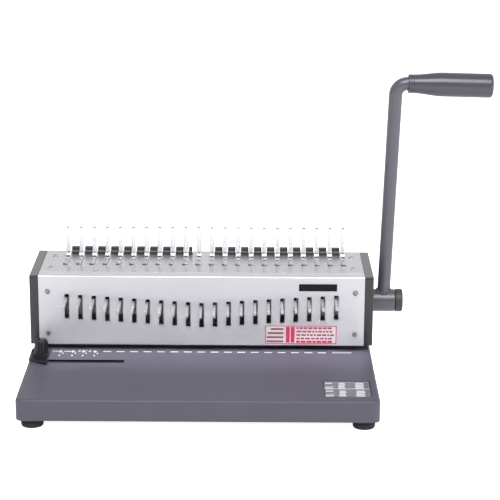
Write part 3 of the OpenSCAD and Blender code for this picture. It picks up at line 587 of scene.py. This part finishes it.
# Edge radius of a tine's strip, its width at a round end, and the radius of its bend, along the middle
STRIP_R, TIP_W, BEND_MID = 0.8, 0.3, 3.6
TINE_MIDDLE = TINE_Y + TINE_T / 2
BEND_Y = TINE_MIDDLE - BEND_MID
FOOT_TOP = CASE_H + FOOT_T
FOOT_Z = CASE_H + FOOT_T / 2


def strip_ring(centre, along, wide, thick):
    """A rounded section of a flat strip across its path; along is the path's direction in Y and Z."""
    ty, tz = along
    ring = []
    r = min(STRIP_R, wide / 2 * 0.9, thick / 2 * 0.9)
    for sx, sn, a in ((1, 1, 0), (-1, 1, 90), (-1, -1, 180), (1, -1, 270)):
        for px, pn in arc(sx * (wide / 2 - r), sn * (thick / 2 - r), r, a, a + 90, 3):
            ring.append((centre[0] + px, centre[1] - pn * tz, centre[2] + pn * ty))
    return [place(*p) for p in ring]


def strip(x, stations):
    """A flat strip in the plane at x; a station is y, z, the path's direction, width and thickness."""
    return rings_mesh([strip_ring((x, y, z), (ty, tz), w, t) for y, z, ty, tz, w, t in stations])


def tine_foot(x):
    """A tine's foot: a flat strip on the deck with a round front end."""
    front, half = TINE_Y + TINE_T - FOOT_LEN, FOOT_W / 2
    stations = []
    for a in quarter_turn(5):
        width = max(FOOT_W * math.sin(a), TIP_W)
        stations.append((front + half - half * math.cos(a), FOOT_Z, 1, 0, width, FOOT_T))
    stations.append((BEND_Y, FOOT_Z, 1, 0, FOOT_W, FOOT_T))
    return strip(x, stations)


def tine_bend():
    """Stations of a tine's bend, which starts inside its foot and narrows towards the upright."""
    lap, fit, narrowing = 0.5, 0.1, 0.6
    stations = [(BEND_Y - lap, FOOT_Z, 1, 0, FOOT_W - fit, FOOT_T - fit)]
    for a in quarter_turn(8):
        part = a / (math.pi / 2)
        y, z = BEND_Y + BEND_MID * math.sin(a), FOOT_Z + BEND_MID * (1 - math.cos(a))
        width = FOOT_W + (TINE_W - FOOT_W) * part ** 3 * narrowing
        thick = FOOT_T + (TINE_T - FOOT_T) * part
        stations.append((y, z, math.cos(a), math.sin(a), width, thick))
    return stations


def tine(x):
    """A tine's bend and upright, with a round top that is a little thinner at its tip."""
    stations = tine_bend()
    for rise, extra in ((1.6, 0.15), (3.2, 0.0)):
        stations.append((TINE_MIDDLE, FOOT_Z + BEND_MID + rise, 0, 1, TINE_W + extra, TINE_T))
    half = TINE_W / 2
    round_z = CASE_H + TINE_H - half
    angles = quarter_turn(6)
    for a in angles:
        thick = TINE_T * (0.7 if a == angles[-1] else 1)
        width = max(TINE_W * math.cos(a), TIP_W)
        stations.append((TINE_MIDDLE, round_z + half * math.sin(a), 0, 1, width, thick))
    return strip(x, stations)


ROW = [tine_x(k) for k in range(PUNCHES + 1)]
RIVET_Y = 52.0
piece("bright_tines", merge([tine(x) for x in ROW]), bright, "frame", ["comb_tines"])
rivet = [(0.4, 0.8), (1.3, 0.7), (1.9, 0.4), (2.1, 0.1), (2.1, -0.3)]
feet_parts = [tine_foot(x) for x in ROW] + [lathe(rivet, upright(x, RIVET_Y, FOOT_TOP), 32) for x in ROW]
# The feet take the darker copy of the steel: painted shade on the flat part of each tine
piece("tine_feet", merge(feet_parts), tine_foot_shaded_steel, "frame")


def level_mark(x0, x1, y0, y1, z):
    """A thin dark mark of painted shade on a level face at height z."""
    return box_mesh(x0, x1, y0, y1, z - 0.1, z + 0.06)


def tine_mark(x, half, z):
    """A thin dark mark of painted shade across the front of the tine at x, up from z."""
    return box_mesh(x - half, x + half, TINE_Y - 0.08, TINE_Y + 0.1, z, z + MARK_H)


# Painted shade in thin dark marks: before the bend, low on the upright, in the rivet's hole, the foot's
# shadow around its front end, at the tip and in a hole of the deck beside the tine
HEEL_HALF, HEEL_FRONT, HEEL_BACK = 2.0, 65.6, 70.8
FOOT_SHADOW_LEFT, FOOT_SHADOW_RIGHT, FOOT_SHADOW_FRONT, FOOT_SHADOW_BACK = 3.1, 1.8, 40.9, 62.0
HOLE_LEFT, HOLE_Y = 4.1, 74.4
LOW_HALF, LOW_RISE, TIP_HALF, TIP_DROP, MARK_H = 1.2, 2.8, 1.7, 0.9, 0.8
rivet_hole_shade = [(0.2, 0.85), (1.2, 0.8), (1.25, 0.4)]
deck_hole_shade = [(0.2, 0.05), (0.8, 0.05), (0.85, -0.2)]
shade_marks = []
for x in ROW:
    shade_marks.append(level_mark(x - HEEL_HALF, x + HEEL_HALF, HEEL_FRONT, HEEL_BACK, FOOT_TOP))
    shade_marks.append(tine_mark(x, LOW_HALF, FOOT_TOP + LOW_RISE))
    shade_marks.append(lathe(rivet_hole_shade, upright(x, RIVET_Y, FOOT_TOP), 24))
    shade_marks.append(level_mark(x - FOOT_SHADOW_LEFT, x + FOOT_SHADOW_RIGHT, FOOT_SHADOW_FRONT, FOOT_SHADOW_BACK, CASE_H))
    shade_marks.append(tine_mark(x, TIP_HALF, CASE_H + TINE_H - TIP_DROP))
    shade_marks.append(lathe(deck_hole_shade, upright(x - HOLE_LEFT, HOLE_Y, CASE_H), 20))
piece("tine_painted_shade_marks", merge(shade_marks), painted_shade, "frame")

# Painted highlight: a lighter band across each hook's front; the middle place has no hook and the one to
# its left a narrow one
BAND_INSET, BAND_Y, BAND_T, BAND_Z, BAND_H = 0.4, 82.0, 0.3, 85.4, 1.5
bands = []
for k in range(PUNCHES):
    if k == PUNCHES // 2:
        continue
    width = NARROW_HOOK_W if k == PUNCHES // 2 - 1 else HOOK_W
    left = punch_x(k) + ROW_SHIFT - HOOK_W / 2
    x0, x1 = left + BAND_INSET, left + width - BAND_INSET
    bands.append(box_mesh(x0, x1, BAND_Y, BAND_Y + BAND_T, BAND_Z, BAND_Z + BAND_H))
piece("hook_painted_highlight_bands", merge(bands), hook_painted_highlight, "hook_carriage")
piece("black_hook_rack", soften(from_node("hook_rack"), 0.4), hook_black, "hook_carriage",
      ["hook_rack"])

# ---- Lever ----

hub_bore = SHAFT_R + 0.1
hub_edge = [(HUB_R - 0.5, 0), (HUB_R - 0.12, 0.15), (HUB_R, 0.5)]
hub_profile = [(hub_bore, 0)] + hub_edge
hub_profile += [(r, HUB_LEN - h) for r, h in reversed(hub_edge)] + [(hub_bore, HUB_LEN)]
hub = lathe(hub_profile, along_x(HUB_X, SHAFT_Y, SHAFT_Z), 128)


def rod_ring(cu, ch, tilt):
    """A round section of the rod at (cu, ch) in the lever's plane, turned towards +u by tilt radians."""
    ring = []
    for b in full_turn(64):
        s, v = ROD_R * math.cos(b), ROD_R * math.sin(b)
        ring.append(in_lever(cu + s * math.cos(tilt), v, ch - s * math.sin(tilt)))
    return ring


# The rod starts inside the hub, is straight up to its bend and ends inside the grip
ROD_FOOT, ROD_LEVEL, ROD_SHORT = 8.5, 20.0, 10.0
straight = ROD_H / math.cos(math.radians(SPLAY)) - BEND_R
rod_rings = [rod_ring(0, ROD_FOOT, 0)]
rod_rings += [rod_ring(0, ROD_LEVEL + (straight - ROD_LEVEL) * i / 10, 0) for i in range(11)]
for a in quarter_turn(24)[1:]:
    rod_rings.append(rod_ring(BEND_R - BEND_R * math.cos(a), straight + BEND_R * math.sin(a), a))
rod_rings.append(rod_ring(BEND_R + GRIP_GAP + GRIP_LEN - ROD_SHORT, straight + BEND_R, math.pi / 2))
rod = rings_mesh(rod_rings)

# Weld bead where the rod meets the hub: its size waves around the seam and ripples at random
BEAD_STEPS, BEAD_SIZE, BEAD_FLAT = 180, 1.35, 0.8
BEAD_WAVES, BEAD_WAVE, BEAD_RIPPLE = 38, 0.16, 0.12
BEAD_OUT, BEAD_UP = 0.35, 0.25
random.seed(7)
ripple = [random.uniform(-BEAD_RIPPLE, BEAD_RIPPLE) for _ in range(BEAD_STEPS)]
bead_rings = []
for a, uneven in zip(full_turn(BEAD_STEPS), ripple):
    size = BEAD_SIZE + BEAD_WAVE * math.sin(BEAD_WAVES * a) + uneven
    u, v = (ROD_R + BEAD_OUT) * math.cos(a), (ROD_R + BEAD_OUT) * math.sin(a)
    h = math.sqrt(HUB_R ** 2 - v ** 2) + BEAD_UP
    ring = []
    for b in full_turn(12):
        out, up = size * math.cos(b), size * BEAD_FLAT * math.sin(b)
        ring.append(in_lever(u + out * math.cos(a), v + out * math.sin(a), h + up))
    bead_rings.append(ring)
bead = rings_mesh(bead_rings, closed=True)
piece("painted_lever_arm", merge([hub, rod, bead]), rod_paint, "lever", ["lever_arm"])


def on_grip(u, v, h):
    """A point on the grip's axis: h along it from its inner end."""
    return in_lever(BEND_R + GRIP_GAP + h, v, straight + BEND_R + u)


def swell(part):
    """A point of the grip's smooth swell from its neck, at part 0, to its thick part, at part 1."""
    smooth = part * part * (3 - 2 * part)
    return GRIP_R1 + (GRIP_R2 - GRIP_R1) * smooth, NECK_LEN + SWELL_LEN * part


# Neck and swell along the grip, the rings pressed into the neck, and the round at the outer end
NECK_LEN, SWELL_LEN = 6.0, 30.0
NECK_RINGS, RING_STEP, RING_DEEP = (2.0, 4.6), 0.35, 0.3
GRIP_ROUND, GRIP_END, GRIP_BORE = 3.2, 4.0, ROD_R + 0.05
grip = [(GRIP_BORE, 12.0), (GRIP_BORE, 0.25), (ROD_R + 0.4, 0)]
grip += [(GRIP_R1 - 0.7, 0), (GRIP_R1 - 0.2, 0.2), (GRIP_R1, 0.7)]
for start in NECK_RINGS:
    for n, sunk in enumerate((0, RING_DEEP, RING_DEEP, 0)):
        grip.append((GRIP_R1 - sunk, start + RING_STEP * n))
grip += [swell(i / 16) for i in range(17)] + [(GRIP_R2, GRIP_LEN - GRIP_END)]
grip += arc(GRIP_R2 - GRIP_ROUND, GRIP_LEN - GRIP_END, GRIP_ROUND, 0, 75, 8)[1:]
grip += [(7.0, GRIP_LEN - 0.35), (4.0, GRIP_LEN - 0.08), (0.3, GRIP_LEN)]
piece("soft_lever_grip", lathe(grip, on_grip, 128), grip_skin, "lever", ["lever_grip"])

# The cap has a narrow joint to the hub, a round edge and a shallow dish
JOINT_DEEP, JOINT_W, CAP_ROUND, CAP_EDGE = 1.6, 0.5, 1.9, 2.0
cap_profile = [(3.0, 0), (CAP_R - JOINT_DEEP, 0), (CAP_R - JOINT_DEEP, JOINT_W)]
cap_profile += [(CAP_R - 0.6, 0.8), (CAP_R, 1.5), (CAP_R, CAP_LEN - CAP_EDGE)]
cap_profile += arc(CAP_R - CAP_ROUND, CAP_LEN - CAP_EDGE, CAP_ROUND, 0, 90, 8)[1:]
cap_profile += [(8.6, CAP_LEN), (8.3, CAP_LEN - 0.15), (8.0, CAP_LEN - 0.5), (0.3, CAP_LEN - 0.6)]
piece("hub_end_cap", lathe(cap_profile, along_x(HUB_X + HUB_LEN, SHAFT_Y, SHAFT_Z), 128), hub_cap_skin,
      "lever", ["hub_cap"])

# ---- Edge guide ----

knob_x, knob_y = -GUIDE_X, -GROOVE_Y + KNOB_BACK


def knob_ring(drop, scale, depth):
    """The knob's ribbed outline, drop below its top and scaled, with grooves of the given depth."""
    ring = []
    for a in full_turn(RIBS * 12):
        r = (KNOB_R - depth * (0.5 - 0.5 * math.cos(RIBS * a)) ** 1.6) * scale
        ring.append(place(knob_x + r * math.cos(a), knob_y + r * math.sin(a), KNOB_TOP - drop))
    return ring


# Drop below the top, scale and groove depth, from the flange up
knob_levels = [(KNOB_TOP - PLATE_TOP, 1.0, 1.1), (4.0, 0.95, 1.1), (2.4, 0.90, 1.0), (1.2, 0.80, 0.7),
               (0.4, 0.64, 0.3), (0.05, 0.45, 0.0), (0, 0.06, 0.0)]
knob = rings_mesh([knob_ring(drop, scale, depth) for drop, scale, depth in knob_levels])
collar_profile = [(8.6, 0), (8.6, 0.5), (8.0, 1.0), (7.0, 1.2), (1, 1.2)]
collar = lathe(collar_profile, upright(knob_x, knob_y, PLATE_TOP), 80)

# The flange is a plate with one slanting edge in front
FLANGE_LEFT, FLANGE_RIGHT, FLANGE_FRONT, FLANGE_BACK = -GUIDE_X - 12.0, -GUIDE_X + 8.0, -50.75, -7.75
FLANGE_SLANT, FLANGE_LIFT = 12.0, 0.2
corners = ((FLANGE_LEFT, FLANGE_FRONT + FLANGE_SLANT), (FLANGE_RIGHT, FLANGE_FRONT),
           (FLANGE_RIGHT, FLANGE_BACK), (FLANGE_LEFT, FLANGE_BACK))
flange_rings = [[place(x, y, z) for x, y in corners] for z in (FLANGE_LIFT, PLATE_TOP)]
guide_plate = soften(rings_mesh(flange_rings), 0.8, 3)
piece("ribbed_edge_guide", merge([knob, guide_plate, collar]), knob_skin,
      "edge_guide_slider", ["edge_guide"])

# ---- Badge, stickers and marks ----

badge = soften(from_node("badge_plate"), 0.25)
piece("bare_badge_plate", badge, badge_skin, "frame", ["badge_plate"])

# Thickness of both stickers, the gap around the one in the recess, and the thickness of the ink
LABEL_T, LABEL_GAP, FRONT_INK, FLAT_INK = 0.25, 0.2, 0.06, 0.05
label_z = LABEL_T - RECESS_DEEP


def sticker_patch(x, z, w, h):
    """Ink on the front sticker; x and z are measured from its lower left corner."""
    x, z = STICKER_X + x, STICKER_Z + z
    return box_mesh(x, x + w, -LABEL_T - FRONT_INK, -LABEL_T, z, z + h)


def flat_patch(x, y, w, d, z=0):
    """Ink on a level face at height z, from the corner at x and y."""
    return box_mesh(x, x + w, y, y + d, z, z + FLAT_INK)


def label_patch(x, y, w, d):
    """Ink on the size label; x and y are measured from the front left corner of its recess."""
    return flat_patch(RECESS_LEFT + x, RECESS_FRONT + y, w, d, label_z)


sticker_plate = box_mesh(STICKER_X, STICKER_X + STICKER_W, -LABEL_T, 0, STICKER_Z, STICKER_Z + STICKER_H)
size_plate = box_mesh(RECESS_LEFT + LABEL_GAP, RECESS_RIGHT - LABEL_GAP, RECESS_FRONT + LABEL_GAP,
                      RECESS_BACK - LABEL_GAP, -RECESS_DEEP, label_z)
piece("ruled_sticker", soften(sticker_plate, 0.08, 1), film, "frame", ["labels"])
piece("ruled_size_label", soften(size_plate, 0.08, 1), silver_film, "frame")


def ruled_row(x, z, height, widths, gap, margin):
    """Rules of random widths along the sticker, from x to margin short of its right edge."""
    shortest = 3.0
    rules = []
    while x < STICKER_W - margin - shortest:
        width = random.uniform(*widths)
        rules.append(sticker_patch(x, z, min(width, STICKER_W - margin - x), height))
        x += width + gap
    return rules


# The sticker's red frame, its two upright bars and the lowest row of rules, which is red
FRAME_IN, FRAME_W, BAR_IN = 0.2, 0.9, 1.6
red_parts = []
for z in (FRAME_IN, STICKER_H - FRAME_IN - FRAME_W):
    red_parts.append(sticker_patch(FRAME_IN, z, STICKER_W - 2 * FRAME_IN, FRAME_W))
for x in (FRAME_IN, STICKER_W - FRAME_IN - FRAME_W):
    red_parts.append(sticker_patch(x, FRAME_IN, FRAME_W, STICKER_H - 2 * FRAME_IN))
for x, width in ((22.3, 4.0), (27.4, 4.2)):
    red_parts.append(sticker_patch(x, BAR_IN, width, STICKER_H - 2 * BAR_IN))
random.seed(17)
red_parts += ruled_row(x=33.0, z=1.4, height=2.6, widths=(2.6, 6.0), gap=0.7, margin=2.0)
piece("sticker_red_rules", merge(red_parts), red_ink, "frame")

# Four rows of dark rules at the sticker's right, and four rules at its left, the upper ones shorter
random.seed(11)
dark_parts = []
for row in range(4):
    row_z = 5.3 + 3.9 * row
    dark_parts += ruled_row(x=33.5, z=row_z, height=1.9, widths=(2.0, 5.5), gap=1.0, margin=3.0)
LEFT_INSETS, LEFT_END, LEFT_RULE = (1.8, 1.8, 3.0, 6.0), 19.6, 2.0
for row, inset in enumerate(LEFT_INSETS):
    dark_parts.append(sticker_patch(inset, 2.0 + 4.6 * row, LEFT_END - inset, LEFT_RULE))
piece("sticker_dark_rules", merge(dark_parts), dark_ink, "frame")

# The size label: long rules (y and depth), and in each of two blocks the columns of short ones (x,
# width and rows) with one thin rule
LONG_RULES = ((22.3, 1.2), (1.0, 0.7), (42.2, 0.7))
COLUMNS = ((1.5, 8.0, (0, 3)), (15.0, 7.0, (0, 1, 2, 3)), (32.0, 9.0, (0, 1, 2, 3)))
BLOCKS_Y, ROW_STEP, RULE_D = (23.7, 1.8), 4.4, 3.0
rules = [label_patch(1.5, y, 45.0, depth) for y, depth in LONG_RULES]
for block_y in BLOCKS_Y:
    for x, width, rows in COLUMNS:
        for n in rows:
            rules.append(label_patch(x + 0.3 * n, block_y + ROW_STEP * n, width - 0.8 * (n % 2), RULE_D))
    rules.append(label_patch(2.0, block_y + 5.6, 8.5, 1.0))
# Painted shade: a dark edge round the label, where the recess's walls shade it
EDGE_IN, EDGE_W = 0.3, 0.7
label_w, label_d = RECESS_RIGHT - RECESS_LEFT, RECESS_BACK - RECESS_FRONT
inside = EDGE_IN + EDGE_W
edge = []
for x in (EDGE_IN, label_w - inside):
    edge.append(label_patch(x, EDGE_IN, EDGE_W, label_d - 2 * EDGE_IN))
for y in (EDGE_IN, label_d - inside):
    edge.append(label_patch(inside, y, label_w - 2 * inside, EDGE_W))
piece("size_label_painted_shade_edge", merge(edge), painted_shade, "frame")
piece("size_label_rules", merge(rules), pale_ink, "frame")

# The scale behind the groove: dashes one punch apart, crossed marks (each of four strokes: x from its
# middle, y, width and depth), short rules (x and width), a row of dots and a row of ticks
SCALE_Y, DASH_START, DASH_W, DASH_D = -6.6, -114.7, 8.4, 2.6
CROSSES_X = (-150.1, -136.7, -125.5, -113.3)
STROKES = ((-0.8, -9.5, 1.6, 7.5), (-2.3, SCALE_Y, 4.6, 2.0), (-0.7, -20.5, 1.4, 4.0),
           (2.2, -13.0, 1.4, 3.4))
SHORT_RULES = ((-158.0, 2.4), (-154.9, 2.0), (-145.9, 6.8), (-131.2, 2.2), (-120.3, 2.6))
DOTS_X, DOT_STEP, TICKS_X, TICK_STEP = -130.6, 3.7, 139.6, 2.1
marks = [flat_patch(DASH_START + n * PITCH - DASH_W / 2, SCALE_Y, DASH_W, DASH_D) for n in range(1, 18)]
for x in CROSSES_X:
    marks += [flat_patch(x + dx, y, width, depth) for dx, y, width, depth in STROKES]
marks += [flat_patch(x, -6.4, width, 2.2) for x, width in SHORT_RULES]
marks += [flat_patch(DOTS_X + DOT_STEP * n, -2.9, 1.5, 2.0) for n in range(4)]
marks += [flat_patch(TICKS_X + TICK_STEP * n, SCALE_Y, 1.3, 2.8 if n % 2 else 4.0) for n in range(10)]
piece("scale_marks", merge(marks), white_ink, "frame")

# Painted shade in the groove: dark lines along its edges, and a dark sheet on its back wall
LINE_W, LINE_OVER, SHADE_SHEET_T, SHADE_SHEET_DEEP = 1.3, 0.8, 0.06, 1.4
line_len = groove_right - groove_left + LINE_OVER
piece("groove_painted_shade", merge([
    flat_patch(groove_left, groove_back, line_len, LINE_W),
    flat_patch(groove_left, groove_front - LINE_W, line_len, LINE_W),
    box_mesh(groove_left, groove_right, groove_back - SHADE_SHEET_T, groove_back, -SHADE_SHEET_DEEP, FLAT_INK),
]), groove_shade_black, "frame")

# ---- Inner pieces ----

# CAD node, finish, body, material slot and the width of its rounded edges
INNER = (
    ("bottom_plate", cover_paint, "frame", "cover_paint", 0.15),
    ("foot_screws", nickel, "frame", "screw_steel", 0.15),
    ("left_frame", plate, "frame", "frame_steel", 0.25),
    ("right_frame", plate, "frame", "frame_steel", 0.25),
    ("guide_block", black_steel, "frame", "black_steel", 0.2),
    ("die_plate", ground, "frame", "punch_steel", 0.2),
    ("throat_spacer", black_steel, "frame", "black_steel", 0.2),
    ("die_bolts", black_steel, "frame", "black_steel", 0.2),
    ("shaft_bushes", bronze, "frame", "bush_bronze", 0.2),
    ("main_shaft", ground, "lever", "punch_steel", 0.3),
    ("eccentrics", plate, "lever", "frame_steel", 0.15),
    ("hook_arms", plate, "lever", "frame_steel", 0.2),
    ("shaft_rings", black_steel, "lever", "black_steel", 0.1),
    ("hub_pin", plate, "lever", "frame_steel", 0.2),
    ("punch_bar", bar_steel, "punch_carriage", "frame_steel", 0.2),
    ("punch_pins", ground, "punch_carriage", "punch_steel", 0.05),
    ("yoke_plates", plate, "punch_carriage", "frame_steel", 0.25),
    ("yoke_screws", nickel, "punch_carriage", "screw_steel", 0.15),
    ("slide_plates", plate, "hook_carriage", "frame_steel", 0.25),
    ("slide_studs", ground, "hook_carriage", "punch_steel", 0.25),
    ("guide_clamp", plate, "edge_guide_slider", "frame_steel", 0.25),
    ("chip_drawer", cover_paint, "drawer", "cover_paint", 0.2),
)
for node, material, body, slot_name, width in INNER:
    piece(node + "_dressed", soften(from_node(node), width, 1), material, body, [node])

# ---- Floor, light and camera ----

FLOOR_HALF, FLOOR_DROP = 20, 0.0002  # in metres
FLOOR_SEEN, FLOOR_CAST = 0.92, 0.3
floor_mat = finish("studio_floor", (0.90, 0.90, 0.90), 0.0, 0.7, spread=0.004, patches=2, grain=200,
                   depth=0.0)


def glow_to_camera(tree, seen, cast, socket):
    """Sets a strength that the camera sees as seen, while it lights the machine as cast."""
    path = tree.nodes.new("ShaderNodeLightPath")
    node = tree.nodes.new("ShaderNodeMapRange")
    node.inputs["To Min"].default_value = cast
    node.inputs["To Max"].default_value = seen
    link(tree, path, "Is Camera Ray", node, "Value")
    tree.links.new(node.outputs["Result"], socket)


floor_shader = floor_mat.node_tree.nodes["Principled BSDF"]
floor_shader.inputs["Emission Color"].default_value = (1, 1, 1, 1)
glow_to_camera(floor_mat.node_tree, FLOOR_SEEN, FLOOR_CAST, floor_shader.inputs["Emission Strength"])
floor_mesh = bpy.data.meshes.new("floor")
bm = bmesh.new()
bmesh.ops.create_grid(bm, x_segments=4, y_segments=4, size=FLOOR_HALF)
bm.to_mesh(floor_mesh)
bm.free()
floor_mesh.materials.append(floor_mat)
floor = bpy.data.objects.new("floor", floor_mesh)
floor.location.z = cad_box[0][2] - FLOOR_DROP
bpy.context.scene.collection.objects.link(floor)

scene = bpy.context.scene
scene.view_settings.view_transform = "Standard"
SKY_FRONT, SKY_BACK = 0.38, 0.92


def white_sweep():
    """A white world, brighter behind the machine than on the camera's side; the camera sees plain white."""
    world = bpy.data.worlds.new("studio")
    world.use_nodes = True
    sky = world.node_tree
    back = sky.nodes["Background"]
    back.inputs["Color"].default_value = (1.0, 1.0, 1.0, 1)
    direction = sky.nodes.new("ShaderNodeTexCoord")
    parts = sky.nodes.new("ShaderNodeSeparateXYZ")
    link(sky, direction, "Generated", parts, "Vector")
    behind = sky.nodes.new("ShaderNodeMath")
    behind.operation = "SUBTRACT"
    link(sky, parts, "Y", behind, 0)
    link(sky, parts, "Z", behind, 1)
    sweep = sky.nodes.new("ShaderNodeMapRange")
    sweep.inputs["From Min"].default_value = -1.0
    sweep.inputs["From Max"].default_value = 0.8
    sweep.inputs["To Min"].default_value = SKY_FRONT
    sweep.inputs["To Max"].default_value = SKY_BACK
    link(sky, behind, "Value", sweep, "Value")
    path = sky.nodes.new("ShaderNodeLightPath")
    seen = sky.nodes.new("ShaderNodeMath")
    seen.operation = "MAXIMUM"
    link(sky, path, "Is Camera Ray", seen, 0)
    link(sky, sweep, "Result", seen, 1)
    link(sky, seen, "Value", back, "Strength")
    return world


scene.world = white_sweep()


def softbox(name, where, target, size, watts):
    """A soft rectangular light at where that faces target; places and size in metres."""
    light = bpy.data.lights.new(name, "AREA")
    light.shape = "RECTANGLE"
    light.size, light.size_y = size
    light.energy = watts
    obj = bpy.data.objects.new(name, light)
    obj.location = where
    obj.rotation_euler = (Vector(target) - Vector(where)).to_track_quat("-Z", "Y").to_euler()
    scene.collection.objects.link(obj)
    return light


softbox("key", where=(0.0, -1.25, 1.9), target=(0, 0, 0.1), size=(1.3, 1.1), watts=40)
softbox("side", where=(1.8, -0.45, 0.35), target=(0.2, 0, 0.2), size=(0.35, 0.9), watts=9)
# A narrow beam that brightens the foot of the panel
foot_light = softbox("panel_foot", where=place(0, -740, 900), target=place(0, -10, 0), size=(0.40, 0.05),
                     watts=0.10)
foot_light.spread = math.radians(4)

# The camera as fitted to the photo: place in the working frame, angles, and focal length in its pixels
CAMERA_AT = (45.97, -1754.62, 618.0)
YAW, PITCH_DOWN, ROLL = math.radians(0.162), math.radians(16.088), math.radians(0.392)
FOCAL_PX, IMAGE_PX, SENSOR = 1738.2, 500, 36.0
forward = Vector((math.sin(YAW) * math.cos(PITCH_DOWN), math.cos(YAW) * math.cos(PITCH_DOWN),
                  -math.sin(PITCH_DOWN)))
level = Vector((math.cos(YAW), -math.sin(YAW), 0))
lift = level.cross(forward)
cam_x = math.cos(ROLL) * level + math.sin(ROLL) * lift
cam_y = -math.sin(ROLL) * level + math.cos(ROLL) * lift
camera_data = bpy.data.cameras.new("camera")
camera_data.sensor_width = SENSOR
camera_data.lens = FOCAL_PX / IMAGE_PX * SENSOR
camera_data.clip_end = 100
camera = bpy.data.objects.new("camera", camera_data)
facing = Matrix((cam_x, cam_y, -forward)).transposed().to_4x4()
camera.matrix_world = Matrix.Translation(place(*CAMERA_AT)) @ facing
scene.collection.objects.link(camera)
scene.camera = camera
